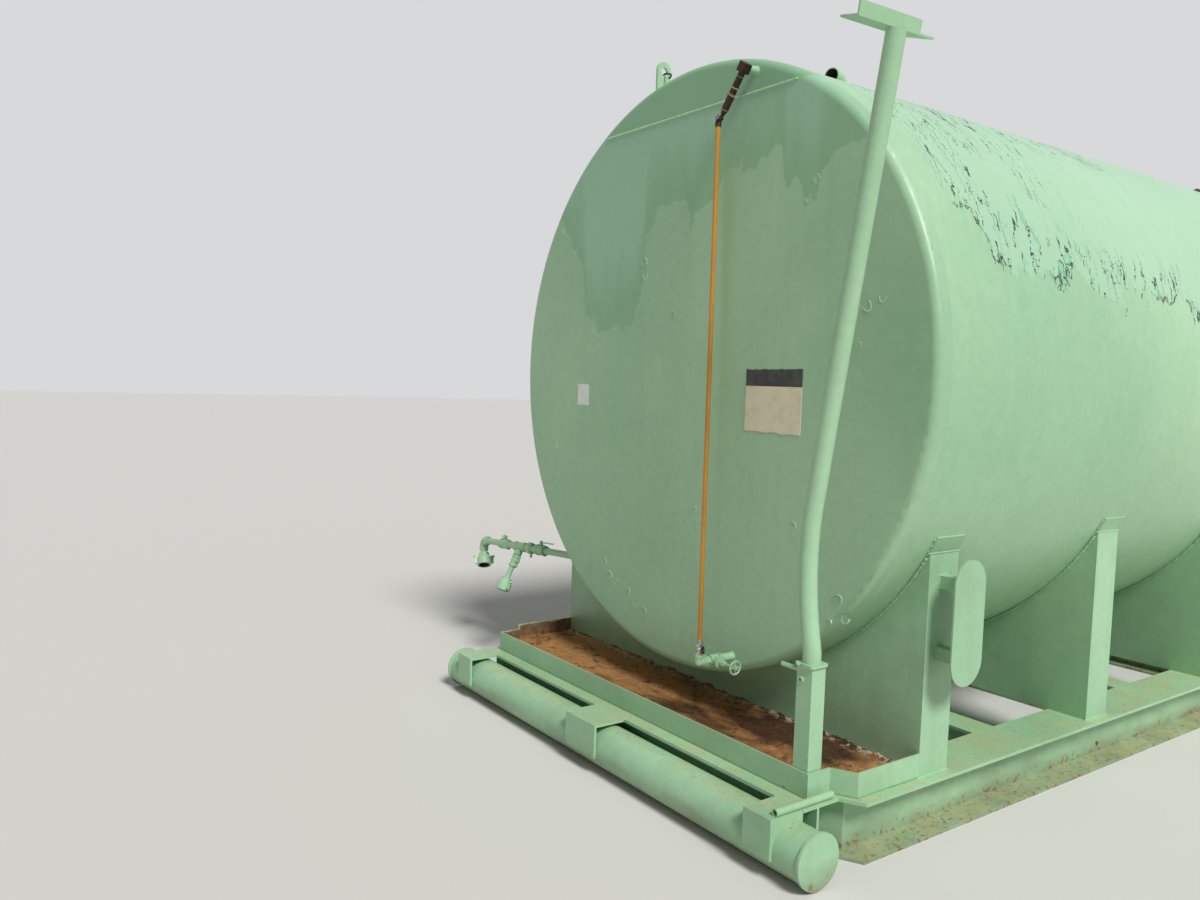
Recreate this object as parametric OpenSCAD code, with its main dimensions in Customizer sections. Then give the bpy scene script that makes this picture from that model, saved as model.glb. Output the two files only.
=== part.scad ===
// Skid-mounted horizontal storage tank, millimetres.
// X points right, Y runs along the tank from the gauge end to the far end, Z points up.
// The origin is on the ground, under the middle of the skid.

/* [Tank] */
// Outside diameter of the shell
tank_d = 2438; // [1800:1:3000]
// Length over both heads
tank_len = 6096; // [5200:1:7200]
// Thickness of the shell plate
shell_t = 6; // [5:0.5:12]
// Thickness of the head plates
head_t = 8; // [6:0.5:14]
// Outside radius of the knuckle that turns each head into its flange
knuckle_r = 30; // [20:1:60]
// Depth of each head from its face to the shell weld
head_depth = 66; // [65:1:120]
// Gap from the top of the skid to the lowest point of the shell
belly_gap = 155; // [120:1:300]

/* [Skid beams] */
// Width over the outer edges of the side rails
skid_w = 2230; // [2100:1:2600]
// Depth of the beams
beam_h = 203; // [160:1:300]
// Width of the flanges of the side rails
flange_w = 200; // [160:1:240]
// Width of the flanges of the end and cross beams
cross_flange_w = 140; // [100:1:150]
// Thickness of the beam flanges
flange_t = 12; // [8:0.5:20]
// Thickness of the beam webs
web_t = 10; // [6:0.5:16]
// How far each rail steps in at the noses
nose_step = 80; // [40:1:110]
// Length of a nose, from the slanted step to the outer edge of the end beam
nose_len = 165; // [150:1:400]
// Length of the slanted step along the rail
jog_len = 45; // [20:1:120]
// Distance from a head's face to the outer edge of the end beam
nose_reach = 315; // [250:1:500]

/* [Saddles] */
// Number of saddles
saddle_count = 6; // [4:2:8]
// Distance from a head's face to the plate of the nearest saddle
saddle_inset = 210; // [100:1:400]
// Thickness of the saddle plates
saddle_t = 10; // [8:0.5:20]
// Width of the side posts of a saddle, along the tank
post_w = 160; // [100:1:240]
// Distance from a rail's outer edge to a post's outer face
post_inset = 40; // [20:1:90]
// Thickness of the wear plates between saddle and shell
wear_t = 8; // [5:0.5:16]

/* [Roll pipes] */
// Outside diameter of the pipe across each nose
roll_d = 168; // [120:1:220]
// Wall of the roll pipe
roll_wall = 7; // [4:0.5:12]
// Distance that the roll pipe runs on past each side of the nose
roll_over = 105; // [40:1:260]
// Diameter of the caps on its ends
roll_cap_d = 182; // [160:1:240]
// Thickness of the caps
roll_cap_t = 10; // [6:0.5:16]
// Distance from the end beam's outer edge to the middle of the roll pipe
roll_out = 50; // [40:1:90]
// Gap between the roll pipe and the ground
roll_lift = 5; // [2:1:20]
// Thickness of the bent brackets that hold it
bracket_t = 10; // [6:0.5:16]
// Width of the middle bracket
bracket_mid_w = 200; // [120:1:300]
// Width of the end brackets
bracket_end_w = 120; // [80:1:200]
// Depth of a bracket's front plate below the skid's top
bracket_drop = 131; // [110:1:150]

/* [Drip tray] */
// Height of the tray's rim above the skid
rim_h = 86; // [50:1:130]
// Thickness of the rim and floor plates
tray_t = 6; // [4:0.5:10]
// Distance from the end beam's outer edge to the front rim
rim_set_front = 60; // [40:1:100]
// Distance from the nose's outer edge to the side rim
rim_set_side = 40; // [20:1:60]

/* [Hose mast] */
// Side of the square socket tube
socket_w = 64; // [60:1:90]
// Wall of the socket tube
socket_wall = 5; // [3:0.5:6]
// Height of the socket above the tray floor
socket_h = 420; // [300:1:600]
// Diameter of the stub that turns in the socket
stub_d = 51; // [40:0.5:53]
// Diameter of the bent pole
pole_d = 60; // [54:0.5:64]
// Wall of the pole and its stub
pole_wall = 4; // [3:0.5:6]
// Height of the pole's top above the ground
mast_top = 2551; // [2000:1:2800]
// Angle of the pole's first bend, away from the tank's side
kink_deg = 12.5; // [5:0.5:20]
// Lean of the pole's long upper length
lean_deg = 11.5; // [5:0.1:15]
// Turn of the whole mast about its socket
mast_turn = -13; // [-40:1:20]
// Turn of the angle bar on the mast's top, against the pole
bar_turn = 16; // [-30:1:30]
// Length of that angle bar
bar_len = 287; // [160:1:420]
// Distance that its lower leg runs on, to a point
bar_point = 70; // [0:1:90]
// Height of the angle bar's upright leg
bar_leg = 42; // [30:1:60]
// Width of its lower leg
bar_foot = 64; // [30:1:90]
// Thickness of the angle bar
bar_t = 6; // [4:0.5:10]

/* [Hose hanger] */
// Width of the hanger plate
hanger_w = 172; // [120:1:240]
// Height of the hanger plate
hanger_h = 430; // [300:1:520]
// Distance from the post to the hanger plate
hanger_reach = 106; // [60:1:200]
// Side of the square arms
arm_w = 45; // [30:1:60]

/* [Sight gauge] */
// Distance of the gauge line to the right of the tank's centre
gauge_x = 360; // [200:1:400]
// Distance of the upper nozzle from the head's rim
gauge_edge_up = 47; // [47:1:90]
// Distance of the lower nozzle from the head's rim
gauge_edge_down = 62; // [47:1:120]
// Outside diameter of the clear tube
tube_d = 18; // [12:0.5:26]
// Diameter of the handwheel
wheel_d = 58; // [40:1:90]
// Distance of the handwheel to the right of the gauge line
wheel_out = 122; // [90:1:160]
// Distance from the head's face to the bottom of the gauge line
gauge_out = 170; // [165:1:240]
// Distance from the head's face to the top elbow
gauge_out_top = 60; // [45:1:120]
// Distance that the top piping runs to the left
gauge_side = 125; // [100:1:180]
// Outside diameter of the two nozzles on the head
nozzle_d = 32; // [26:0.5:42]
// Bore of those nozzles
gauge_bore = 19; // [12:0.5:22]

/* [Top fittings] */
// Outside diameter of the vent pipe
vent_d = 73; // [50:1:80]
// Height of the middle of the vent's mouth above the shell
vent_h = 125; // [110:1:200]
// Distance from the front head's face to the vent
vent_in = 876; // [400:1:1500]
// Outside diameter of the hatch neck
hatch_d = 219; // [150:1:300]
// Height of the hatch neck above the shell
hatch_h = 90; // [60:1:200]
// Distance from the front head's face to the hatch
hatch_in = 4450; // [3000:1:5000]
// Width of a lifting lug, along the tank
lug_w = 75; // [60:1:120]
// Height of a lug's top above the top of the shell
lug_rise = 168; // [110:1:230]
// Distance of the lugs from the tank's middle plane
lug_x = 440; // [300:1:500]
// Distance from a head's face to the middle of its lug
lug_in = 200; // [140:1:400]
// Thickness of the lugs
lug_t = 12; // [8:0.5:20]

/* [Loading manifold] */
// Outside diameter of the manifold pipe
line_d = 34; // [27:0.5:42]
// Outside diameter of the branch pipe
branch_d = 27; // [21:0.5:34]
// Height of the manifold's nozzle above the bottom of the shell
line_rise = 299; // [230:1:360]
// Distance from the front head's face to the manifold
line_in = 100; // [85:1:150]
// Fall of the manifold, away from the tank
line_fall = 3.8; // [0:0.1:8]
// Distance from the tank's middle plane to the first valve
valve_1_at = 1205; // [1150:1:1230]
// Distance from the tank's middle plane to the tee
tee_at = 1415; // [1380:1:1440]
// Distance from the tank's middle plane to the second valve
valve_2_at = 1585; // [1560:1:1620]
// Distance from the tank's middle plane to the end elbow
elbow_at = 1830; // [1760:1:2000]
// Drop from the end elbow to the coupling's bend
coupling_drop = 56; // [50:1:160]
// Length of the branch, from the tee to its cap
branch_len = 185; // [178:1:320]
// Turn of the branch towards the front, away from straight down
branch_turn = 28; // [0:1:60]

/* [Hidden] */
$fn = 96;
fine = 360;                          // sides of the tank-sized rounds
green = "darkseagreen";
rust = "saddlebrown";
dark_iron = "dimgray";
seat = 0.3;                          // gap under a part that turns
play = 0.05;                         // radial clearance on a stem
weld_gap = 0.1;                      // gap between curved plates that are welded at their edges
through = 1;                         // how far a cutter runs past what it cuts

tube_rest_d = 25;
tube_rest_wall = 3;
tube_rest_len = 260;
tube_rest_out = 115;                 // how far the tube rest runs out past the end beam
wear_over = 60;                      // how far each wear plate runs up past its post

socket_gap = 4;                      // between the socket tube and the tray's rims
plate_over = 8;                      // how far the mast's plate runs out past the socket
plate_t = 9;
plate_round = 12;
plate_notch = 15;
lock_rod_d = 16;
lock_rod_len = 80;
lock_nut_d = 23;
lock_nut_wall = 6;
lock_nut_len = 9;
lock_rod_drop = 20;                  // depth of the rod below the socket's top
lock_nut_drop = 44;                  // depth of the nut
stub_deep = 192;                     // how deep the stub stands in the socket
neck_len = 28;                       // straight length of the pole above its plate
kink_r = 90;
kink_len = 75;
curve_r = 1000;
bar_shift = 38;                      // of the bar's middle towards the front
hanger_t = 6;
hanger_up = 165;                     // of the hanger's middle above the post's middle
hanger_arm_up = 124;

elbow_w = 36;
elbow_leg = 30;
elbow_d = 30;
elbow_band_d = 36;
elbow_band_t = 10;
tube_wall = 2.5;
sleeve_wall = 6;                     // on the tube's diameter
sleeve_down = 13;
sleeve_up = 10;
side_share = 1.44;                   // depth of the top piping for each millimetre that it runs left
// Top piping, from its elbow down: each length ends at z and has the diameter d
nipples = [[0, 72, 26], [72, 77, 30], [77, 108, 26], [108, 114, 30], [114, 162, 28]];
taper_len = 22;
cock_neck_d = 14;
cock_ball_d = 20;
cock_back = 22;                      // from the top cock to the tube's end
cock_boss = 14;
cock_boss_d = 12;
cock_stem_d = 6;
wing_w = 30;
top_cock_turn = -90;
cock_rise = 52;                      // of the bottom cock above its elbow
tube_rise = 26;                      // of the tube's foot above the bottom cock
gate_share = 0.58;                   // of the way from the head to the gauge line
gate_body_d = 42;
gate_hex = 44;
gate_hex_t = 14;
gate_stem_d = 9;
wheel_rim = 8;
wheel_hub_d = 18;
spoke_d = 6;

vent_wall = 5;
vent_bend = 60;
vent_turn = -80;
vent_lip = 20;
hatch_wall = 8;
cover_over = 20;                     // how far the hatch cover runs out past its neck
cover_t = 12;
cover_crown = 22;
knob_d = 26;
knob_h = 16;
sunk = 20;                           // how far a neck starts below the shell's top
lug_hole = 38;
lug_hole_drop = 5;                   // of the lifting eye below the middle of the lug's round end

line_wall = 4;
valve_3_at = 84;
valve_stem_d = 10;
handle_w = 14;
handle_t = 4;
handle_hub_d = 18;
handle_hub_h = 12;
lever_reach = 110;
wing_reach = 24;
drain_d = 7;
drain_len = 42;
drain_ball_d = 15;
cap_d = 38;                          // pipe size of the coupling on the branch
mouth_d = 40;                        // and of the one on the drop
elbow_r = 34;
coupling_tip = 35;
coupling_turn = 25;
coupling_bend = 40;

R = tank_d/2;
axis_z = beam_h + belly_gap + R;
face_y = tank_len/2;                 // distance of each head's face from the middle
end_y = face_y + nose_reach;         // outer edge of the end beams
post_x = skid_w/2 - post_inset;      // outer face of the posts
nose_x = skid_w/2 - nose_step;       // outer edge of the noses
jog_y = end_y - nose_len;            // where each slanted step begins
rim_x = skid_w/2 - rim_set_side;     // outer face of the side rims
rim_y = end_y - rim_set_front;       // outer face of the end rims
roll_len = 2*(nose_x + roll_over);
roll_y = -end_y - roll_out;
roll_z = roll_lift + roll_cap_d/2;
saddle_y = face_y - saddle_inset;    // outer face of the end saddles
saddle_pitch = (2*saddle_y - post_w)/(saddle_count - 1);
wear_r = R + wear_t;
post_top = axis_z - sqrt(wear_r*wear_r - pow(post_x - saddle_t/2, 2));
tray_z = beam_h + tray_t;            // top of the tray floor

socket_x = rim_x - nose_step - tray_t - socket_w/2 - socket_gap;
socket_y = -rim_y + tray_t + socket_gap/2 + socket_w/2;
socket_top = tray_z + socket_h;
pole_foot = socket_top + seat;
pole_rise = neck_len + kink_r*sin(kink_deg) + kink_len*cos(kink_deg)
    + curve_r*(sin(kink_deg) + sin(lean_deg));
lean_len = (mast_top - pole_foot - pole_rise)/cos(lean_deg);

gauge_up = sqrt(pow(R - gauge_edge_up, 2) - gauge_x*gauge_x);
gauge_down = sqrt(pow(R - gauge_edge_down, 2) - gauge_x*gauge_x);
gauge_top = [gauge_x, -face_y - gauge_out_top, axis_z + gauge_up];
tube_top = gauge_top + [-gauge_side, -5, -side_share*gauge_side];
gauge_low = [gauge_x, -face_y - gauge_out, axis_z - gauge_down];
cock_at = gauge_low + [0, 0, cock_rise];
tube_low = cock_at + [0, 0, tube_rise];
tube_v = tube_low - tube_top;
run_v = tube_top - gauge_top;
run_len = norm(run_v);
valve_y = -face_y - gate_share*gauge_out;
elbow_y = -face_y - gauge_out + elbow_leg;     // where the gate valve's pipe enters the lower elbow

line_drop = R - line_rise;
line_s0 = sqrt(R*R - line_drop*line_drop);     // where the manifold's pipe meets the shell

// Repeats its children, turned to the far end
module both_ends() {
    children();
    mirror([0, 1, 0]) children();
}

// Lays what stands on Z along the tank's axis, from the front
module lay(y) {
    translate([0, y, axis_z]) rotate([-90, 0, 0]) children();
}

module pipe(d, wall, h, sides = $fn) {
    difference() {
        cylinder(d = d, h = h, $fn = sides);
        translate([0, 0, -through]) cylinder(d = d - 2*wall, h = h + 2*through, $fn = sides);
    }
}

// Turns Z to point along v
module aim(v) {
    rotate([0, acos(v[2]/norm(v)), atan2(v[1], v[0])]) children();
}

// Round bar or bore between two points
module rod(p, q, d) {
    translate(p) aim(q - p) cylinder(d = d, h = norm(q - p));
}

// Bar of diameter d that starts up Z and bends by a towards +X
module bend(d, r, a) {
    translate([r, 0, 0]) rotate([90, 0, 180]) rotate_extrude(angle = a) translate([r, 0]) circle(d = d);
}

// Puts its children at the end of such a bend
module after_bend(r, a) {
    translate([r*(1 - cos(a)), 0, r*sin(a)]) rotate([0, a, 0]) children();
}

// I-beam along Y from y0 to y1, centred on X, with its foot at Z = 0
module i_beam(w, y0, y1) {
    translate([-w/2, y0, 0]) cube([w, y1 - y0, flange_t]);
    translate([-w/2, y0, beam_h - flange_t]) cube([w, y1 - y0, flange_t]);
    translate([-web_t/2, y0, flange_t]) cube([web_t, y1 - y0, beam_h - 2*flange_t]);
}

module head_profile(r, k, depth) {
    square([r - k, depth]);
    translate([0, k]) square([r, depth - k]);
    translate([r - k, k]) circle(r = k);
}

module head() {
    rotate_extrude($fn = fine) difference() {
        head_profile(R, knuckle_r, head_depth);
        translate([0, head_t]) head_profile(R - head_t, knuckle_r - head_t, head_depth);
    }
}

module tank_shell() {
    color(green) difference() {
        lay(head_depth - face_y) pipe(tank_d, shell_t, tank_len - 2*head_depth, fine);
        translate([0, vent_in - face_y, axis_z]) cylinder(d = vent_d - 2*vent_wall, h = R + through);
        translate([0, hatch_in - face_y, axis_z]) cylinder(d = hatch_d - 2*hatch_wall, h = R + through);
        on_line(line_s0) rotate([0, 90, 0])
            translate([0, 0, -line_d]) cylinder(d = line_d - 2*line_wall, h = 3*line_d);
    }
}

module front_head() {
    color(green) difference() {
        lay(-face_y) head();
        for (z = [gauge_up, -gauge_down])
            translate([gauge_x, -face_y - through, axis_z + z])
                rotate([-90, 0, 0]) cylinder(d = gauge_bore, h = head_t + 2*through);
    }
}

module rear_head() {
    color(green) mirror([0, 1, 0]) lay(-face_y) head();
}

// Outer face of saddle i, counted from the front, and the side its post is on
function saddle_at(i) = i < saddle_count/2 ? -saddle_y + i*saddle_pitch
    : saddle_y - (saddle_count - 1 - i)*saddle_pitch;
function saddle_dir(i) = i < saddle_count/2 ? 1 : -1;

module at_saddle(i) {
    translate([0, saddle_at(i), 0]) scale([1, saddle_dir(i), 1]) children();
}

module wear_plates() {
    a = asin((axis_z - post_top - wear_over)/wear_r);
    color(green) for (i = [0:saddle_count - 1]) at_saddle(i)
        lay(0) rotate([0, 0, a]) rotate_extrude(angle = 180 - 2*a, $fn = fine)
            translate([R + weld_gap, 0]) square([wear_t - weld_gap, post_w]);
}

module saddle(i) {
    color(green) at_saddle(i) difference() {
        union() {
            translate([-post_x, 0, beam_h]) cube([2*post_x, saddle_t, post_top - beam_h]);
            for (x = [-post_x, post_x - saddle_t])
                translate([x, 0, beam_h]) cube([saddle_t, post_w, post_top - beam_h]);
        }
        translate([0, -through, axis_z]) rotate([-90, 0, 0])
            cylinder(r = wear_r, $fn = fine, h = post_w + 2*through);
    }
}

// Plan of a strip along the right side, from x = a to b on the long part, ending at y = +-e
module side_strip(a, b, e) {
    y2 = jog_y - jog_len;
    polygon([[a - nose_step, -e], [b - nose_step, -e], [b - nose_step, -jog_y], [b, -y2], [b, y2],
        [b - nose_step, jog_y], [b - nose_step, e], [a - nose_step, e], [a - nose_step, jog_y],
        [a, y2], [a, -y2], [a - nose_step, -jog_y]]);
}

module rail_right() {
    x0 = skid_w/2 - flange_w;
    xw = skid_w/2 - flange_w/2 - web_t/2;
    flange_e = end_y - cross_flange_w;
    color(green) {
        for (z = [0, beam_h - flange_t])
            translate([0, 0, z]) linear_extrude(flange_t) side_strip(x0, skid_w/2, flange_e);
        translate([0, 0, flange_t]) linear_extrude(beam_h - 2*flange_t)
            side_strip(xw, xw + web_t, end_y - cross_flange_w/2 - web_t/2);
    }
}

module rail_left() {
    mirror([1, 0, 0]) rail_right();
}

module front_end_beam() {
    color(green) translate([0, -end_y + cross_flange_w/2, 0]) rotate([0, 0, 90])
        i_beam(cross_flange_w, -nose_x, nose_x);
}

module rear_end_beam() {
    mirror([0, 1, 0]) front_end_beam();
}

module cross_beams() {
    x = skid_w/2 - flange_w;
    xw = skid_w/2 - flange_w/2 - web_t/2;
    color(green) for (i = [0:saddle_count - 2])
        translate([0, -saddle_y + post_w/2 + (i + 0.5)*saddle_pitch, 0]) rotate([0, 0, 90]) {
            i_beam(cross_flange_w, -x, x);
            translate([-web_t/2, -xw, flange_t]) cube([web_t, 2*xw, beam_h - 2*flange_t]);
        }
}

module roll_pipes() {
    color(green) both_ends() {
        translate([-roll_len/2, roll_y, roll_z]) rotate([0, 90, 0]) pipe(roll_d, roll_wall, roll_len);
        for (x = [-roll_len/2 - roll_cap_t, roll_len/2])
            translate([x, roll_y, roll_z]) rotate([0, 90, 0]) cylinder(d = roll_cap_d, h = roll_cap_t);
    }
}

// Bent plate from x = a to b that holds the pipe's front
module bracket(a, b) {
    y0 = roll_y - roll_d/2 - bracket_t;
    translate([a, y0, beam_h - bracket_t]) cube([b - a, -end_y - y0, bracket_t]);
    translate([a, y0, beam_h - bracket_drop]) cube([b - a, bracket_t, bracket_drop]);
}

// Cheek plate that closes a bracket's outer side round the pipe
module cheek(x) {
    y0 = roll_y - roll_d/2 - bracket_t;
    difference() {
        translate([x, y0, beam_h - bracket_drop]) cube([bracket_t, -end_y - y0, bracket_drop]);
        translate([x - through, roll_y, roll_z]) rotate([0, 90, 0])
            cylinder(d = roll_d, h = bracket_t + 2*through);
    }
}

module roll_brackets() {
    color(green) {
        both_ends() {
            bracket(-bracket_mid_w/2, bracket_mid_w/2);
            for (s = [0, 1]) mirror([s, 0, 0]) {
                bracket(nose_x - bracket_end_w, nose_x);
                cheek(nose_x - bracket_t);
            }
        }
        translate([nose_x - tube_rest_d/2, -end_y - tube_rest_out, beam_h + tube_rest_d/2])
            rotate([-90, 0, 0]) pipe(tube_rest_d, tube_rest_wall, tube_rest_len);
    }
}

module tray_floor() {
    color(rust) both_ends() translate([0, 0, beam_h]) linear_extrude(tray_t)
        for (s = [0, 1]) mirror([s, 0]) intersection() {
            side_strip(0, rim_x, rim_y);
            translate([0, -rim_y]) square([rim_x, rim_y - saddle_y]);
        }
}

module tray_rim_front() {
    color(green) both_ends() translate([-rim_x + nose_step, -rim_y, tray_z])
        cube([2*(rim_x - nose_step), tray_t, rim_h - tray_t]);
}

module tray_rim_right() {
    color(green) both_ends() translate([0, 0, tray_z]) linear_extrude(rim_h - tray_t) intersection() {
        side_strip(rim_x - tray_t, rim_x, rim_y - tray_t);
        translate([0, -rim_y]) square([rim_x + through, rim_y - saddle_y]);
    }
}

module tray_rim_left() {
    mirror([1, 0, 0]) tray_rim_right();
}

module mast_socket() {
    color(green) translate([socket_x, socket_y, tray_z]) difference() {
        translate([-socket_w/2, -socket_w/2, 0]) cube([socket_w, socket_w, socket_h]);
        translate([-socket_w/2 + socket_wall, -socket_w/2 + socket_wall, -through])
            cube([socket_w - 2*socket_wall, socket_w - 2*socket_wall, socket_h + 2*through]);
    }
}

// Rod and lock nut, welded on the socket's left and front faces
module mast_lock_bar() {
    color(green) translate([socket_x, socket_y, socket_top]) {
        translate([-socket_w/2, -socket_w/4, -lock_rod_drop]) rotate([0, -90, 0])
            cylinder(d = lock_rod_d, h = lock_rod_len);
        translate([-socket_w/6, -socket_w/2, -lock_nut_drop]) rotate([90, 0, 0])
            pipe(lock_nut_d, lock_nut_wall, lock_nut_len);
    }
}

// Frame of the mast: the middle of its plate's underside, turned with the mast
module at_pole() {
    translate([socket_x, socket_y, pole_foot]) rotate([0, 0, mast_turn]) children();
}

// Frame of the pole's top end
module pole_end() {
    translate([0, 0, neck_len]) rotate([0, 0, 180]) after_bend(kink_r, kink_deg) translate([0, 0, kink_len])
        rotate([0, 0, 180]) after_bend(curve_r, kink_deg + lean_deg) translate([0, 0, lean_len]) children();
}

// Pole of diameter d from its plate up: the neck, the kink, the long curve and the lean
module pole_line(d, over) {
    translate([0, 0, -over]) cylinder(d = d, h = neck_len + over);
    translate([0, 0, neck_len]) rotate([0, 0, 180]) {
        bend(d, kink_r, kink_deg);
        after_bend(kink_r, kink_deg) {
            cylinder(d = d, h = kink_len);
            translate([0, 0, kink_len]) rotate([0, 0, 180]) {
                bend(d, curve_r, kink_deg + lean_deg);
                after_bend(curve_r, kink_deg + lean_deg) cylinder(d = d, h = lean_len + over);
            }
        }
    }
}

// Plate welded under the pole: a rounded square with a notch in its front edge
module mast_plate() {
    half = socket_w/2 + plate_over - plate_round;
    linear_extrude(plate_t) difference() {
        union() {
            for (x = [-half, half], y = [-half, half]) translate([x, y]) circle(r = plate_round);
            square([2*half, 2*(half + plate_round)], center = true);
            square([2*(half + plate_round), 2*half], center = true);
        }
        translate([-socket_w/4, -half - plate_round]) rotate([0, 0, 45])
            square(plate_notch, center = true);
    }
}

module mast_pole() {
    color(green) at_pole() {
        difference() {
            pole_line(pole_d, 0);
            pole_line(pole_d - 2*pole_wall, -plate_t);
        }
        rotate([0, 0, -mast_turn]) mast_plate();
        translate([0, 0, -stub_deep]) pipe(stub_d, pole_wall, stub_deep + plate_t/2);
    }
}

// Angle bar: an upright leg, and a lower leg that runs on at the far end
module mast_bar() {
    x0 = bar_t - bar_foot;
    color(green) at_pole() pole_end() rotate([0, 0, bar_turn]) translate([0, -bar_len/2 - bar_shift, 0]) {
        linear_extrude(bar_t)
            polygon([[x0, 0], [bar_t, 0], [bar_t, bar_len + bar_point], [x0, bar_len + bar_t]]);
        cube([bar_t, bar_len, bar_leg]);
    }
}

// Round-ended plate on two arms; both ends are half circles
module hose_hanger() {
    color(green) translate([post_x, -saddle_y + post_w/2, (post_top + beam_h)/2 + hanger_up]) {
        translate([hanger_reach - hanger_t, 0, 0]) rotate([90, 0, 90]) linear_extrude(hanger_t) {
            for (s = [0, 1]) mirror([0, s]) translate([0, hanger_h/2 - hanger_w/2]) circle(d = hanger_w);
            square([hanger_w, hanger_h - hanger_w], center = true);
        }
        for (z = [-hanger_arm_up, hanger_arm_up])
            translate([0, -arm_w/2, z - arm_w/2]) cube([hanger_reach - hanger_t, arm_w, arm_w]);
    }
}

module gauge_top_nozzle() {
    color(green) translate([gauge_x, -face_y, axis_z + gauge_up]) rotate([90, 0, 0]) difference() {
        cylinder(d = nozzle_d, h = gauge_out_top - elbow_w/2);
        translate([0, 0, -through]) cylinder(d = gauge_bore, h = gauge_out_top);
    }
}

// Sleeve on an end of the clear tube, up Z from depth down to height up
module tube_sleeve(down, up) {
    translate([0, 0, -down]) cylinder(d = tube_d + sleeve_wall, h = down);
    pipe(tube_d + sleeve_wall, sleeve_wall/2, up);
}

// Elbow, nipples and couplings down to the top cock, and the sleeve of the tube
module gauge_top_piping() {
    tip = nipples[len(nipples) - 1];
    color(dark_iron) {
        difference() {
            translate(gauge_top) {
                intersection() {
                    translate([-elbow_w, -elbow_w/2, -elbow_w]) cube([2*elbow_w, elbow_w, 2*elbow_w]);
                    aim(run_v) translate([-elbow_w/2, -elbow_w, -elbow_w/2])
                        cube([elbow_w, 2*elbow_w, elbow_w]);
                }
                aim(run_v) {
                    for (n = nipples) translate([0, 0, n[0]]) cylinder(d = n[2], h = n[1] - n[0]);
                    translate([0, 0, tip[1]]) cylinder(d1 = tip[2], d2 = cock_neck_d, h = taper_len);
                    cylinder(d = cock_neck_d, h = run_len);
                    translate([0, 0, run_len - cock_back]) sphere(d = cock_ball_d);
                }
            }
            translate(tube_top) aim(tube_v) cylinder(d = tube_d, h = 2*sleeve_up);
        }
        at_top_cock() cock_stem();
        translate(tube_top) aim(tube_v) tube_sleeve(sleeve_down, sleeve_up);
    }
}

module gauge_tube() {
    color("goldenrod", 0.7) translate(tube_top) aim(tube_v) pipe(tube_d, tube_wall, norm(tube_v));
}

// Boss and stem of a small cock, up Z from the middle of its body
module cock_stem() {
    cylinder(d = cock_boss_d, h = cock_boss);
    cylinder(d = cock_stem_d, h = cock_boss + 12);
}

// Flat wing handle on such a stem, in line with X
module wing_handle(w) {
    difference() {
        union() {
            translate([0, 0, cock_boss + seat]) cylinder(d = cock_boss_d, h = 11);
            translate([0, 0, cock_boss + 6]) linear_extrude(handle_t) {
                square([w - 2*handle_t, 2*handle_t], center = true);
                for (x = [handle_t - w/2, w/2 - handle_t]) translate([x, 0]) circle(r = handle_t);
            }
        }
        cylinder(d = cock_stem_d + 2*play, h = cock_boss + 20);
    }
}

// The small top cock: X along the run, Z towards the front
module at_top_cock() {
    translate(gauge_top) aim(run_v) translate([0, 0, run_len - cock_back])
        rotate([0, 0, top_cock_turn]) rotate([0, -90, 0]) children();
}

// The small bottom cock: X straight up, Z to the right
module at_bottom_cock() {
    translate(cock_at) rotate([0, 90, 0]) children();
}

module gauge_top_handle() {
    color("silver") at_top_cock() wing_handle(wing_w);
}

module gauge_bottom_cock() {
    color("silver") {
        at_bottom_cock() cock_stem();
        translate(gauge_low + [0, 0, elbow_leg]) {
            cylinder(d = 27, h = 8, $fn = 6);
            cylinder(d = 18, h = cock_rise - elbow_leg);
        }
        translate(cock_at) sphere(d = 23);
        translate(tube_low) aim(-tube_v) tube_sleeve(16, sleeve_up);
    }
}

module gauge_bottom_lever() {
    color(dark_iron) at_bottom_cock() wing_handle(wing_w);
}

// Street elbow with a band at each end
module gauge_bottom_elbow() {
    color(green) {
        translate(gauge_low) {
            cylinder(d = elbow_d, h = elbow_leg);
            sphere(d = elbow_d);
            rotate([-90, 0, 0]) cylinder(d = elbow_d, h = elbow_leg);
            for (a = [0, -90]) rotate([a, 0, 0])
                translate([0, 0, elbow_leg - elbow_band_t]) cylinder(d = elbow_band_d, h = elbow_band_t);
        }
    }
}

// Nozzle pipe and gate valve, with its bonnet, gland and stem to the right
module gauge_gate_valve() {
    gate_x = gate_body_d/2;
    color(green) {
        difference() {
            translate([gauge_x, -face_y, gauge_low[2]]) rotate([90, 0, 0])
                cylinder(d = nozzle_d, h = gauge_out - elbow_leg);
            translate([gauge_x, -face_y + through, gauge_low[2]]) rotate([90, 0, 0])
                cylinder(d = gauge_bore, h = 3*nozzle_d/4);
        }
        for (y = [elbow_y, valve_y + 26])
            translate([gauge_x, y, gauge_low[2]]) rotate([-90, 0, 0])
                cylinder(d = gate_hex, h = gate_hex_t, $fn = 6);
        translate([gauge_x, valve_y, gauge_low[2]]) {
            rotate([90, 0, 0]) cylinder(d = gate_body_d, h = gate_body_d - 2, center = true);
            rotate([0, 90, 0]) {
                cylinder(d = 34, h = gate_x + 17);
                translate([0, 0, gate_x + 13]) cylinder(d = 46, h = 9);
                translate([0, 0, gate_x + 22]) cylinder(d = 26, h = 16);
                translate([0, 0, gate_x + 38]) cylinder(d = 22, h = 10, $fn = 6);
                cylinder(d = gate_stem_d, h = wheel_out + gate_stem_d);
            }
        }
    }
}

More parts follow.
